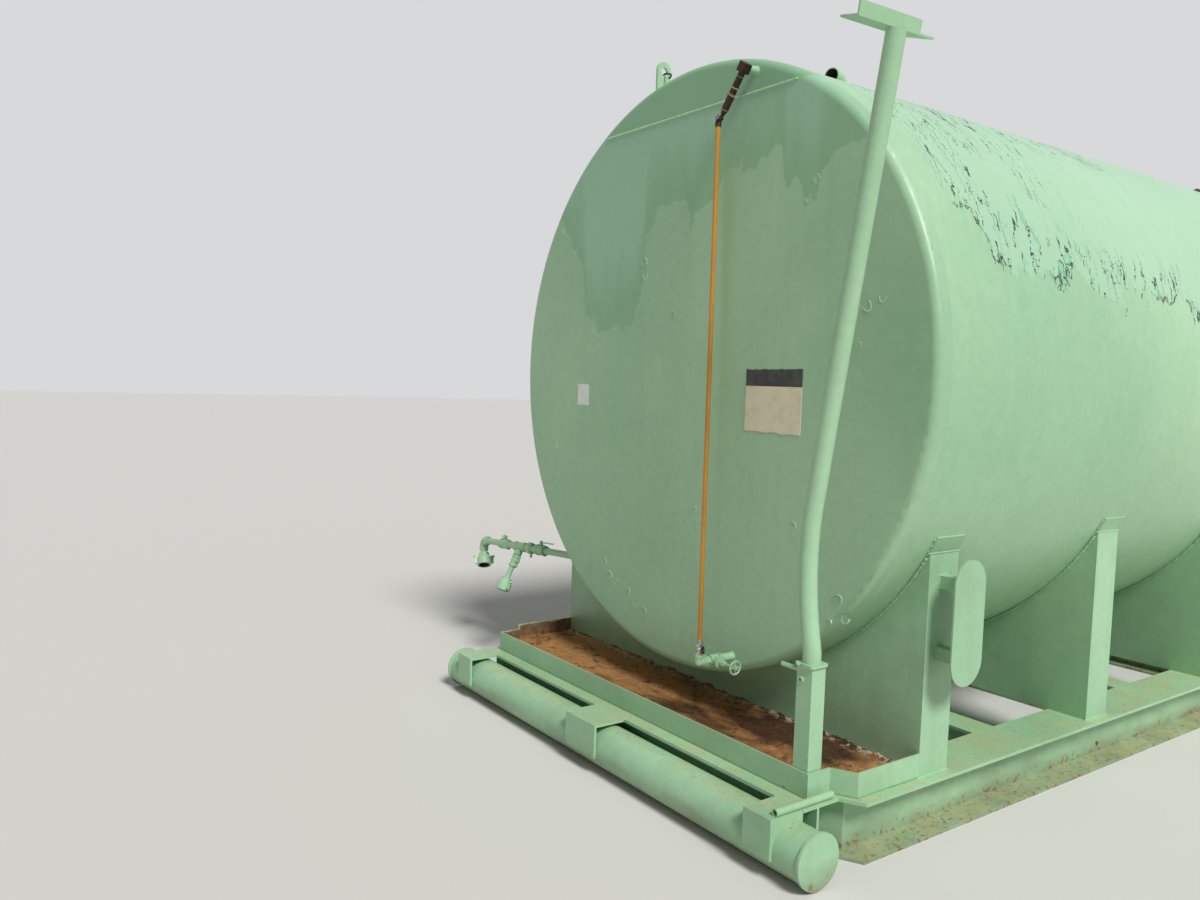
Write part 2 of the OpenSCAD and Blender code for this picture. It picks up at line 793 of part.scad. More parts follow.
// Handwheel on the valve's stem: rim, four spokes and a hub
module gauge_handwheel() {
    rim_r = (wheel_d - wheel_rim)/2;
    color(green) translate([gauge_x + wheel_out, valve_y, gauge_low[2]]) rotate([0, 90, 0]) difference() {
        union() {
            rotate_extrude() translate([rim_r, 0]) circle(d = wheel_rim);
            translate([0, 0, -7]) cylinder(d = wheel_hub_d, h = 14);
            for (a = [0:90:270]) rotate([0, 0, a]) rotate([0, 90, 0]) cylinder(d = spoke_d, h = rim_r);
        }
        translate([0, 0, -20]) cylinder(d = gate_stem_d + 2*play, h = 40);
    }
}

module lug() {
    round_z = axis_z + R + lug_rise - lug_w/2;     // middle of the lug's round end
    difference() {
        translate([-lug_x - lug_t/2, lug_in - face_y, 0]) rotate([90, 0, 90])
            linear_extrude(lug_t) difference() {
                union() {
                    translate([-lug_w/2, axis_z]) square([lug_w, round_z - axis_z]);
                    translate([0, round_z]) circle(d = lug_w);
                }
                translate([0, round_z - lug_hole_drop]) circle(d = lug_hole);
            }
        lay(-face_y) cylinder(r = R, $fn = fine, h = tank_len);
    }
}

module lifting_lugs() {
    color(green) for (a = [0, 180]) rotate([0, 0, a]) lug();
}

// Round length of diameter d that stands on the shell and turns level; its ends run on by over
module vent_line(d, over) {
    leg = vent_h - vent_bend;
    translate([0, 0, axis_z + R]) rotate([0, 0, vent_turn]) {
        translate([0, 0, -sunk - over]) cylinder(d = d, h = leg + sunk + over);
        translate([0, 0, leg]) {
            bend(d, vent_bend, 90);
            after_bend(vent_bend, 90) cylinder(d = d, h = vent_lip + over);
        }
    }
}

module vent_pipe() {
    color(green) translate([0, vent_in - face_y, 0]) difference() {
        vent_line(vent_d, 0);
        vent_line(vent_d - 2*vent_wall, through);
        translate([0, -vent_d, axis_z]) rotate([-90, 0, 0]) cylinder(r = R, $fn = fine, h = 2*vent_d);
    }
}

module hatch_neck() {
    color(green) translate([0, hatch_in - face_y, 0]) difference() {
        translate([0, 0, axis_z + R - sunk]) pipe(hatch_d, hatch_wall, hatch_h + sunk);
        translate([0, -hatch_d, axis_z]) rotate([-90, 0, 0]) cylinder(r = R, $fn = fine, h = 2*hatch_d);
    }
}

module hatch_cover() {
    over = hatch_d + 2*cover_over;
    color("black") translate([0, hatch_in - face_y, axis_z + R + hatch_h]) {
        cylinder(d = over, h = cover_t);
        translate([0, 0, cover_t])
            cylinder(d1 = over - cover_over, d2 = over - 6*cover_over, h = cover_crown);
        translate([0, 0, cover_t + cover_crown]) cylinder(d = knob_d, h = knob_h);
    }
}

// Frame on the manifold, s out from the tank's middle plane: X back to the tank, Z up
module on_line(s) {
    translate([-line_s0, line_in - face_y, axis_z - line_drop]) rotate([0, -line_fall, 0])
        translate([line_s0 - s, 0, 0]) children();
}

// Frame on the branch, h down from the run: X down the branch, Z to the right
module on_branch(h) {
    on_line(tee_at) rotate([-branch_turn, 0, 0]) rotate([0, 90, 0]) translate([h, 0, 0]) children();
}

// Ring round X, with its middle at x
module band(x, d, w) {
    translate([x - w/2, 0, 0]) rotate([0, 90, 0]) cylinder(d = d, h = w);
}

// Ball valve on a pipe of diameter d along X, with its stem up Z
module ball_valve(d) {
    band(0, 1.45*d, 1.7*d);
    sphere(d = 1.6*d);
    for (x = [-0.95*d, 0.95*d])
        translate([x, 0, 0]) rotate([0, 90, 0]) cylinder(d = 1.75*d, h = 0.5*d, $fn = 6, center = true);
    cylinder(d = 0.6*d, h = d);
    cylinder(d = valve_stem_d, h = d + handle_hub_h + handle_t);
}

// Handle of such a valve, from its hub out along X
module valve_handle(d, reach, back) {
    difference() {
        union() {
            translate([0, 0, d + seat]) cylinder(d = handle_hub_d, h = handle_hub_h);
            translate([0, 0, d + handle_hub_h/2]) linear_extrude(handle_t) {
                translate([-back, -handle_w/2]) square([reach + back, handle_w]);
                for (x = [-back, reach]) translate([x, 0]) circle(d = handle_w);
            }
        }
        cylinder(d = valve_stem_d + 2*play, h = 2*d);
    }
}

// Frame where the end elbow begins: Z out along the run, X down
module at_elbow() {
    on_line(elbow_at - elbow_r) rotate([0, -90, 0]) rotate([0, 0, 180]) children();
}

// Frame at the end of the drop: Z down, X towards the side that the coupling's mouth looks to
module at_drop() {
    at_elbow() after_bend(elbow_r, 90 - line_fall) translate([0, 0, coupling_drop - elbow_r])
        rotate([0, 0, coupling_turn]) children();
}

module manifold_pipe() {
    color(green) difference() {
        union() {
            on_line(elbow_at - elbow_r) rotate([0, 90, 0])
                cylinder(d = line_d, h = elbow_at - elbow_r - line_s0 + line_d);
            at_elbow() {
                translate([0, 0, -0.5*line_d]) cylinder(d = 1.5*line_d, h = 0.55*line_d);
                bend(1.36*line_d, elbow_r, 90 - line_fall);
                after_bend(elbow_r, 90 - line_fall) {
                    translate([0, 0, -0.05*line_d]) cylinder(d = 1.5*line_d, h = 0.55*line_d);
                    cylinder(d = line_d, h = coupling_drop - elbow_r);
                }
            }
            at_drop() {
                translate([0, 0, -0.3*line_d]) cylinder(d = 1.4*line_d, h = 0.5*line_d);
                bend(line_d, coupling_bend, coupling_tip);
            }
            on_line(tee_at) {
                band(0, 1.35*line_d, 2.6*line_d);
                band(-1.3*line_d, 1.5*line_d, 0.4*line_d);
                band(1.3*line_d, 1.5*line_d, 0.4*line_d);
            }
            on_branch(0) {
                rotate([0, 90, 0]) cylinder(d = branch_d, h = branch_len);
                band(line_d, 1.6*branch_d, 0.8*line_d);
            }
            on_line((valve_1_at + tee_at)/2) {
                rotate([0, 90, 0]) cylinder(d = 1.9*line_d, h = 0.9*line_d, $fn = 6, center = true);
                translate([0, 0, -drain_len]) cylinder(d = drain_d, h = drain_len);
                translate([0, 0, -drain_len]) sphere(d = drain_ball_d);
            }
        }
        on_line(valve_1_at) rotate([0, 90, 0]) cylinder(d = line_d - 2*line_wall, h = valve_1_at);
        lay(-face_y) cylinder(r = R, $fn = fine, h = 2*line_in);
        on_line(valve_1_at) valve_core(line_d);
        on_line(valve_2_at) valve_core(line_d);
        on_branch(valve_3_at) valve_core(branch_d);
    }
}

// Room that a ball valve takes out of the pipe
module valve_core(d) {
    band(0, 2*d, 2.4*d);
}

module manifold_valves() {
    color(green) {
        on_line(valve_1_at) ball_valve(line_d);
        on_line(valve_2_at) ball_valve(line_d);
        on_branch(valve_3_at) ball_valve(branch_d);
    }
}

module manifold_lever_1() {
    color(green) on_line(valve_1_at) valve_handle(line_d, lever_reach, 0);
}

module manifold_lever_2() {
    color(green) on_line(valve_2_at) valve_handle(line_d, wing_reach, wing_reach);
}

module manifold_lever_3() {
    color(green) on_branch(valve_3_at) valve_handle(branch_d, wing_reach, wing_reach);
}

// Cam-lock coupling up Z from the end of a pipe of diameter d, with two ears along Y
module coupling(d) {
    difference() {
        union() {
            cylinder(d = 1.5*d, h = 0.5*d);
            translate([0, 0, 0.35*d]) cylinder(d1 = 1.5*d, d2 = 2*d, h = 0.4*d);
            translate([0, 0, 0.75*d]) cylinder(d = 2*d, h = 1.05*d);
            for (s = [0, 180]) rotate([0, 0, s]) {
                translate([-0.14*d, 0.9*d, 0.45*d]) cube([0.28*d, 0.45*d, 1.1*d]);
                translate([0, 1.3*d, 0.5*d]) sphere(d = 0.45*d);
            }
        }
        translate([0, 0, 0.8*d]) cylinder(d = 1.5*d, h = 2.2*d);
    }
}

module manifold_couplings() {
    color(green) {
        at_drop() after_bend(coupling_bend, coupling_tip) coupling(mouth_d);
        on_branch(branch_len) rotate([0, 90, 0]) rotate([0, 0, 90]) {
            coupling(cap_d);
            translate([0, 0, 0.8*cap_d]) cylinder(d = 1.5*cap_d, h = 1.1*cap_d);
        }
    }
}

tank_shell();
front_head();
rear_head();
wear_plates();
saddle(0);  // saddle_1
saddle(1);  // saddle_2
saddle(2);  // saddle_3
saddle(3);  // saddle_4
saddle(4);  // saddle_5
saddle(5);  // saddle_6
rail_left();
rail_right();
front_end_beam();
rear_end_beam();
cross_beams();
roll_pipes();
roll_brackets();
tray_floor();
tray_rim_front();
tray_rim_left();
tray_rim_right();
mast_socket();
mast_lock_bar();
mast_pole();
mast_bar();
hose_hanger();
gauge_top_nozzle();
gauge_top_piping();
gauge_top_handle();
gauge_tube();
gauge_bottom_cock();
gauge_bottom_lever();
gauge_bottom_elbow();
gauge_gate_valve();
gauge_handwheel();
lifting_lugs();
vent_pipe();
hatch_neck();
hatch_cover();
manifold_pipe();
manifold_valves();
manifold_couplings();
manifold_lever_1();
manifold_lever_2();
manifold_lever_3();
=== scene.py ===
import math

import bmesh
import bpy
from mathutils import Matrix, Vector
from mathutils import noise as fractal


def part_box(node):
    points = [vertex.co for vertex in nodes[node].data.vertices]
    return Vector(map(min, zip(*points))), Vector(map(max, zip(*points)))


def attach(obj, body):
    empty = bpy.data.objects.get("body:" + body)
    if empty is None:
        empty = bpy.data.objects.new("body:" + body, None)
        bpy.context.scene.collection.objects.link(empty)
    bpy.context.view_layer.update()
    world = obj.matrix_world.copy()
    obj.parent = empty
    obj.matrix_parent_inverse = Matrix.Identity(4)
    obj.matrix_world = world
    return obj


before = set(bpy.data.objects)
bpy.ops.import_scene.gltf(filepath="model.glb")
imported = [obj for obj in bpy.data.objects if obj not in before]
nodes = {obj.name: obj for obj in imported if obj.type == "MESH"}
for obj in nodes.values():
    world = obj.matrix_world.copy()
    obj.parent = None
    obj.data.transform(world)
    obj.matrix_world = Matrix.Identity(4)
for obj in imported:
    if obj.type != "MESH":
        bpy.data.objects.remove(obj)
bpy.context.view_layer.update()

scene = bpy.context.scene
print("frame loaded:", len(nodes), "nodes")

# Places read from the frame
headLow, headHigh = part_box("front_head")
headFace = headLow.y
tankR = (headHigh.x - headLow.x) / 2
axisZ = (headHigh.z + headLow.z) / 2
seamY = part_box("tank_shell")[0].y
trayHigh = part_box("tray_floor")[1]
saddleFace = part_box("saddle_1")[0].y
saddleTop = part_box("saddle_1")[1].z
saddleCount = 6
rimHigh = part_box("tray_rim_front")[1]
trayTop = trayHigh.z
trayMiddle = (rimHigh.y + abs(saddleFace)) / 2
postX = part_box("saddle_1")[1].x
nozzleLow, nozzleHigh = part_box("gauge_top_nozzle")
gaugeX = (nozzleLow.x + nozzleHigh.x) / 2
gaugeStart = (gaugeX, headFace - 0.06, (nozzleLow.z + nozzleHigh.z) / 2)     # middle of the top elbow
gaugeHeading = Vector((-125, -5, -180)).normalized()                          # down its leaning nipples
ventIn = 0.876                        # vent to the head's face
jointUp = 1.040                       # joint of the head's plates, over the tank's middle


# Small helpers

def hexColour(code):
    parts = [int(code[i:i + 2], 16) / 255 for i in (1, 3, 5)]
    return tuple(c / 12.92 if c <= 0.04045 else ((c + 0.055) / 1.055) ** 2.4 for c in parts) + (1.0,)


# Short names for common nodes: the real name, where the values after it go, what is preset, the output;
# a node with no output named here gives all of them
nodeKinds = {
    "where": ("ShaderNodeTexCoord", (), {}, "Object"),
    "normal": ("ShaderNodeNewGeometry", (), {}, "True Normal"),
    "parts": ("ShaderNodeSeparateXYZ", (0,), {}, None),
    "point": ("ShaderNodeCombineXYZ", (0, 1, 2), {}, 0),
    "math": ("ShaderNodeMath", (0, 1, "operation"), {"operation": "MULTIPLY"}, 0),
    "absolute": ("ShaderNodeMath", (0,), {"operation": "ABSOLUTE"}, 0),
    "range": ("ShaderNodeMapRange", (0, 1, 2, 3, 4), {"clamp": True}, 0),     # held at both ends
    "vector": ("ShaderNodeVectorMath", (0, 1, "operation"), {"operation": "SUBTRACT"}, 0),
    "dot": ("ShaderNodeVectorMath", (0, 1), {"operation": "DOT_PRODUCT"}, "Value"),
    "length": ("ShaderNodeVectorMath", (0,), {"operation": "LENGTH"}, "Value"),
    "mix": ("ShaderNodeMix", (0, 6, 7, "blend_type"), {"data_type": "RGBA"}, 2),
    "noise": ("ShaderNodeTexNoise", ("Vector", "Scale", "Detail", "Roughness", "Distortion"),
              {"Detail": 4.0}, 0),         # scale is lumps per metre, so 20 gives lumps of 50 mm
    "place": ("ShaderNodeMapping", ("Vector", "Scale", "Location"), {}, 0),
    "path": ("GeometryNodeMeshToCurve", ("Mesh",), {}, 0),
    "sweep": ("GeometryNodeCurveToMesh", ("Curve", "Profile Curve"), {"Fill Caps": True}, 0),
    "lay": ("GeometryNodeInstanceOnPoints", ("Points", "Instance", "Rotation", "Scale"), {}, 0),
    "named": ("GeometryNodeInputNamedAttribute", ("Name",), {"data_type": "FLOAT"}, 0),
    "real": ("GeometryNodeRealizeInstances", (0,), {}, 0),
    "coat": ("GeometryNodeSetMaterial", ("Geometry", "Material"), {}, 0),
    "bump": ("ShaderNodeBump", ("Height", "Distance", "Strength"), {"Distance": 1.0, "Strength": 1.0}, 0),
}


def add(tree, kind, *given, **settings):
    # adds one node and gives its output; an input is a value, a hex colour or the socket to link
    name, places, preset, output = nodeKinds.get(kind, (kind, (), {}, None))
    ins = dict(zip(places, given)) if places else dict(*given)
    node = tree.nodes.new(name)
    for key, value in {**preset, **settings, **ins}.items():
        if isinstance(value, str) and value.startswith("#"):
            value = hexColour(value)
        if isinstance(key, str) and key not in node.inputs:
            setattr(node, key, value)
        elif isinstance(value, bpy.types.NodeSocket):
            tree.links.new(value, node.inputs[key])
        else:
            node.inputs[key].default_value = value
    return node.outputs if output is None else node.outputs[output]


def patches(tree, where, lumps, *limits):
    # noise of a scale, detail, roughness and distortion, spread from the first limits to the others
    return add(tree, "range", add(tree, "noise", where, *lumps), *limits)


def tinted(tree, colour, mask, share, top):
    # lays the top colour over the first where the mask is, as strongly as its share
    return add(tree, "mix", add(tree, "math", mask, share), colour, top)


def newMaterial(name):
    mat = bpy.data.materials.new(name)
    mat.use_nodes = True
    mat.node_tree.nodes.clear()
    return mat, mat.node_tree


def finished(mat, ins):
    shader = add(mat.node_tree, "ShaderNodeBsdfPrincipled", ins)[0]
    add(mat.node_tree, "ShaderNodeOutputMaterial", {"Surface": shader})
    return mat


# Enamel over hot-rolled steel plate: brushed and sprayed coats that have chalked in the sun
enamel = {
    "sound": "#98C39C",       # paint that still has its colour
    "chalked": "#ABD2AA",     # faded where the sun reaches
    "deep": "#7FB287",        # runs of rain dirt
    "older": "#9FCFAF",       # bluish coat under the last one
    "sunk": "#84B68B",        # darker edge of that coat
    "film": "#ADD6B9",        # bluish film on the sunny shell
    "bare": "#7CC39A",        # glossy mint where a tongue of it is gone
    "crackShadow": "#1E3327",       # open edges of the lifted film, with painted shadow under them
    "primer": "#7B4430",      # red oxide primer in chips
    "rust": "#8A4F22",
    "rustDark": "#3E2212",
    "soil": "#6B5A45",
    # pale yellow on level faces: dust, and painted sunlight on the tops
    "dust": "#BDB784",
    "gloss": 0.36,
}


# Lower edge of the head's older coat, as places across the head and heights, in metres; it frays in
# bites of 110 mm, and the coat above it wears in patches 150 mm wide and 550 high
coatLine = [(-1.10, 2.32), (-0.95, 2.30), (-0.80, 2.13), (-0.745, 2.06), (-0.71, 1.81), (-0.60, 1.760),
            (-0.48, 1.765), (-0.34, 1.80), (-0.285, 1.95), (-0.28, 2.14), (-0.19, 2.245), (-0.03, 2.255),
            (0.02, 2.175), (0.07, 2.215), (0.22, 2.325), (0.43, 2.345), (0.47, 2.395), (0.51, 2.40),
            (0.535, 2.21), (0.585, 2.25), (0.68, 2.18), (0.70, 2.26), (0.77, 2.345), (0.86, 2.36),
            (1.10, 2.44)]
coatLow, coatHigh = 1.6, 2.6          # heights that the curve spans
coatSide = 1.1                        # and how far it goes to each side

# Yellow band on the paint beside the gauge's tube: how it fades in and out across and upwards, in metres
tubeSideYellow = {"colour": "#A3B873", "left": (-0.03, 0.0), "right": (0.07, 0.0), "foot": (0.9, 1.9),
             "top": (2.45, 2.3), "leans": (1.4, 2.5, 0.25, 0.215)}


def olderCoat(tree, xAt, zAt, shifted, colour, height):
    # above the line the last coat has worn away: dark along the line, bluish and paler further up
    curve = tree.nodes.new("ShaderNodeFloatCurve")
    line = curve.mapping.curves[0]
    spots = [((x + coatSide) / (2 * coatSide), (z - coatLow) / (coatHigh - coatLow)) for x, z in coatLine]
    for index, spot in enumerate(spots):
        if index < 2:
            line.points[index].location = spot
        else:
            line.points.new(*spot)
    for point in line.points:
        point.handle_type = "VECTOR"
    curve.mapping.update()
    tree.links.new(add(tree, "range", xAt, -coatSide, coatSide), curve.inputs["Value"])
    level = add(tree, "range", curve.outputs[0], 0, 1, coatLow, coatHigh)
    ragged = patches(tree, shifted, (9, 7, 0.62), 0.3, 0.7, -0.045, 0.045)
    above = add(tree, "math", add(tree, "math", zAt, level, "SUBTRACT"), ragged, "ADD")
    inside = add(tree, "range", above, 0.0, 0.010)
    patchy = add(tree, "noise", add(tree, "place", shifted, (2.2, 1, 0.6)), 3, 5, 0.6)
    worn = add(tree, "range", add(tree, "math", above, patchy), 0.035, 0.17)
    coat = add(tree, "mix", worn, enamel["sunk"], enamel["older"])
    colour = tinted(tree, colour, inside, 0.6, coat)
    # the plate above the head's joint is a shade darker
    upper = add(tree, "range", zAt, axisZ + jointUp - 0.002, axisZ + jointUp + 0.002)
    colour = tinted(tree, colour, upper, 0.7, enamel["sunk"])
    # the paint is yellower in a band beside the gauge's tube
    off = add(tree, "math", xAt, add(tree, "range", zAt, *tubeSideYellow["leans"]), "SUBTRACT")
    across = add(tree, "math", add(tree, "range", off, *tubeSideYellow["left"]),
                 add(tree, "range", off, *tubeSideYellow["right"]))
    upwards = add(tree, "math", add(tree, "range", zAt, *tubeSideYellow["foot"]),
                  add(tree, "range", zAt, *tubeSideYellow["top"]))
    tubeSideBand = add(tree, "math", across, upwards)
    colour = tinted(tree, colour, tubeSideBand, 0.55, tubeSideYellow["colour"])
    return colour, add(tree, "math", height, add(tree, "math", inside, -0.0005), "ADD")


# Where the shell's film has let go: angles up from the side in radians, places along the tank in metres
peelZone = {"lowest": 0.29, "highest": 1.40, "from": -2.88, "full": -1.7, "to": -0.6, "beyond": 0.12}
tongues = {"across": 8.5, "down": 1.25, "step": 0.046, "line": 0.0068}
wholeFilm = {"low": (0.38, 0.46), "high": (0.94, 0.84), "from": (-2.25, -2.05)}   # where it still holds


def peeledFilm(tree, xAt, yAt, zAt, where, colour, height):
    # nested tongues of film that point down the curve of the plate, with dark open edges and painted
    # shadow under them; tongues are 120 mm wide and 800 long, their edges jagged at 38 mm and broken
    # into dashes of 50 mm
    side = add(tree, "absolute", xAt)
    rise = add(tree, "math", zAt, -axisZ, "ADD")
    angle = add(tree, "math", rise, side, "ARCTAN2")
    around = add(tree, "math", add(tree, "math", rise, xAt, "ARCTAN2"), tankR)
    jag = patches(tree, where, (26, 3, 0.6), 0.3, 0.7, -0.016, 0.016)
    jagged = add(tree, "math", yAt, jag, "ADD")
    down = add(tree, "math", around, add(tree, "math", jag, 2.2), "ADD")
    flat = add(tree, "point", down, jagged, 0.0)
    long = add(tree, "noise", add(tree, "place", flat, (tongues["down"], tongues["across"], 1)), 1.0, 2, 0.45)
    steps = add(tree, "math", long, tongues["step"], "PINGPONG")
    outline = add(tree, "range", steps, tongues["line"], tongues["line"] * 0.6)
    dashes = patches(tree, add(tree, "place", flat, (0.4, 1, 1)), (48, 2, 0.5), 0.44, 0.47)
    ragged = add(tree, "noise", add(tree, "place", flat, (0.6, 1, 1)), 6.0, 6, 0.62)
    above = add(tree, "math", angle, add(tree, "range", ragged, 0.3, 0.7, -0.11, 0.11), "ADD")
    above = add(tree, "math", above, peelZone["lowest"], "SUBTRACT")
    slope = add(tree, "range", yAt, peelZone["from"], peelZone["from"] + 0.3, 0.24, 0.0)
    above = add(tree, "math", above, slope, "SUBTRACT")
    front = add(tree, "range", yAt, peelZone["from"], peelZone["from"] + 0.10)
    old = add(tree, "math", add(tree, "range", above, 0.0, 0.010), front)
    fade = add(tree, "range", yAt, peelZone["full"], peelZone["to"], 1.0, peelZone["beyond"])
    crowd = add(tree, "noise", add(tree, "place", flat, (0.5, 1, 1), (4, 0, 0)), 1.7, 3, 0.5)
    crowd = add(tree, "math", crowd, add(tree, "range", fade, 0, 1, -0.14, 0.07), "ADD")
    crowd = add(tree, "range", crowd, 0.46, 0.49)
    high = add(tree, "range", angle, peelZone["highest"], peelZone["highest"] - 0.1)
    zone = add(tree, "math", add(tree, "math", add(tree, "range", above, -0.012, 0.0), high),
               add(tree, "math", front, crowd))
    # further back a stretch between the lower edge and the top has stayed whole
    further = add(tree, "math", yAt, add(tree, "range", ragged, 0.3, 0.7, -0.25, 0.25), "ADD")
    whole = add(tree, "math", add(tree, "range", angle, *wholeFilm["low"]),
                add(tree, "range", angle, *wholeFilm["high"]))
    whole = add(tree, "math", whole, add(tree, "range", further, *wholeFilm["from"]))
    zone = add(tree, "math", zone, add(tree, "math", 1.0, whole, "SUBTRACT"))
    outline = add(tree, "math", add(tree, "math", outline, dashes), zone)
    edge = add(tree, "absolute", above)
    fringe = add(tree, "math", add(tree, "range", edge, 0.012, 0.006), add(tree, "math", dashes, front))
    fringe = add(tree, "math", fringe, add(tree, "range", fade, peelZone["beyond"], 0.3))
    broken = patches(tree, flat, (3.3, 2, 0.5), 0.50, 0.53)
    outline = add(tree, "math", outline, add(tree, "math", fringe, broken), "MAXIMUM")
    gone = add(tree, "math", add(tree, "range", long, 0.655, 0.66), zone)
    colour = tinted(tree, colour, old, 0.45, enamel["film"])
    colour = tinted(tree, colour, gone, 0.9, enamel["bare"])
    # the outlines are painted near-black: open edges with painted shadow under the lifted film
    colour = add(tree, "mix", outline, colour, enamel["crackShadow"])
    sunk = add(tree, "math", add(tree, "math", gone, -0.0003), add(tree, "math", outline, -0.0012), "ADD")
    return colour, add(tree, "math", height, sunk, "ADD")


# Dark insides, bare rust with painted shade: the open coupling's mouth with its heading, and the vent's bend from
# its foot up
couplingMouth = {"at": (-1.7816, -2.9685, 0.4531), "heading": (0.5198, -0.2424, -0.8192), "radius": 0.0302,
                 "depth": 0.0402}
ventBend = {"foot": (0, headFace + ventIn, axisZ + tankR), "turn": -80, "leg": 0.065, "bend": 0.060,
            "bore": 0.0322}


def insideMouth(tree, where, mouth):
    off = add(tree, "vector", where, mouth["at"])
    along = add(tree, "dot", off, mouth["heading"])
    beside = add(tree, "vector", off, mouth["heading"], "CROSS_PRODUCT")
    beside = add(tree, "length", beside)
    inside = add(tree, "range", beside, mouth["radius"] + 0.0008, mouth["radius"])
    return add(tree, "math", inside, add(tree, "range", along, -mouth["depth"] - 0.001, -mouth["depth"]))


def insideBend(tree, where, vent):
    # nearness to the pipe's middle line: up the leg, round the bend and out along the lip
    turn = math.radians(vent["turn"])
    off = add(tree, "vector", where, vent["foot"])
    ahead = add(tree, "dot", off, (math.cos(turn), math.sin(turn), 0))
    beside = add(tree, "dot", off, (-math.sin(turn), math.cos(turn), 0))
    rise = add(tree, "parts", off)[2]
    short = add(tree, "math", add(tree, "math", ahead, vent["bend"], "SUBTRACT"), 0.0, "MINIMUM")
    over = add(tree, "math", add(tree, "math", rise, vent["leg"], "SUBTRACT"), 0.0, "MAXIMUM")
    arm = add(tree, "length", add(tree, "point", short, over))
    gap = add(tree, "length", add(tree, "point", add(tree, "math", arm, vent["bend"], "SUBTRACT"), beside))
    return add(tree, "range", gap, vent["bore"] + 0.0008, vent["bore"])


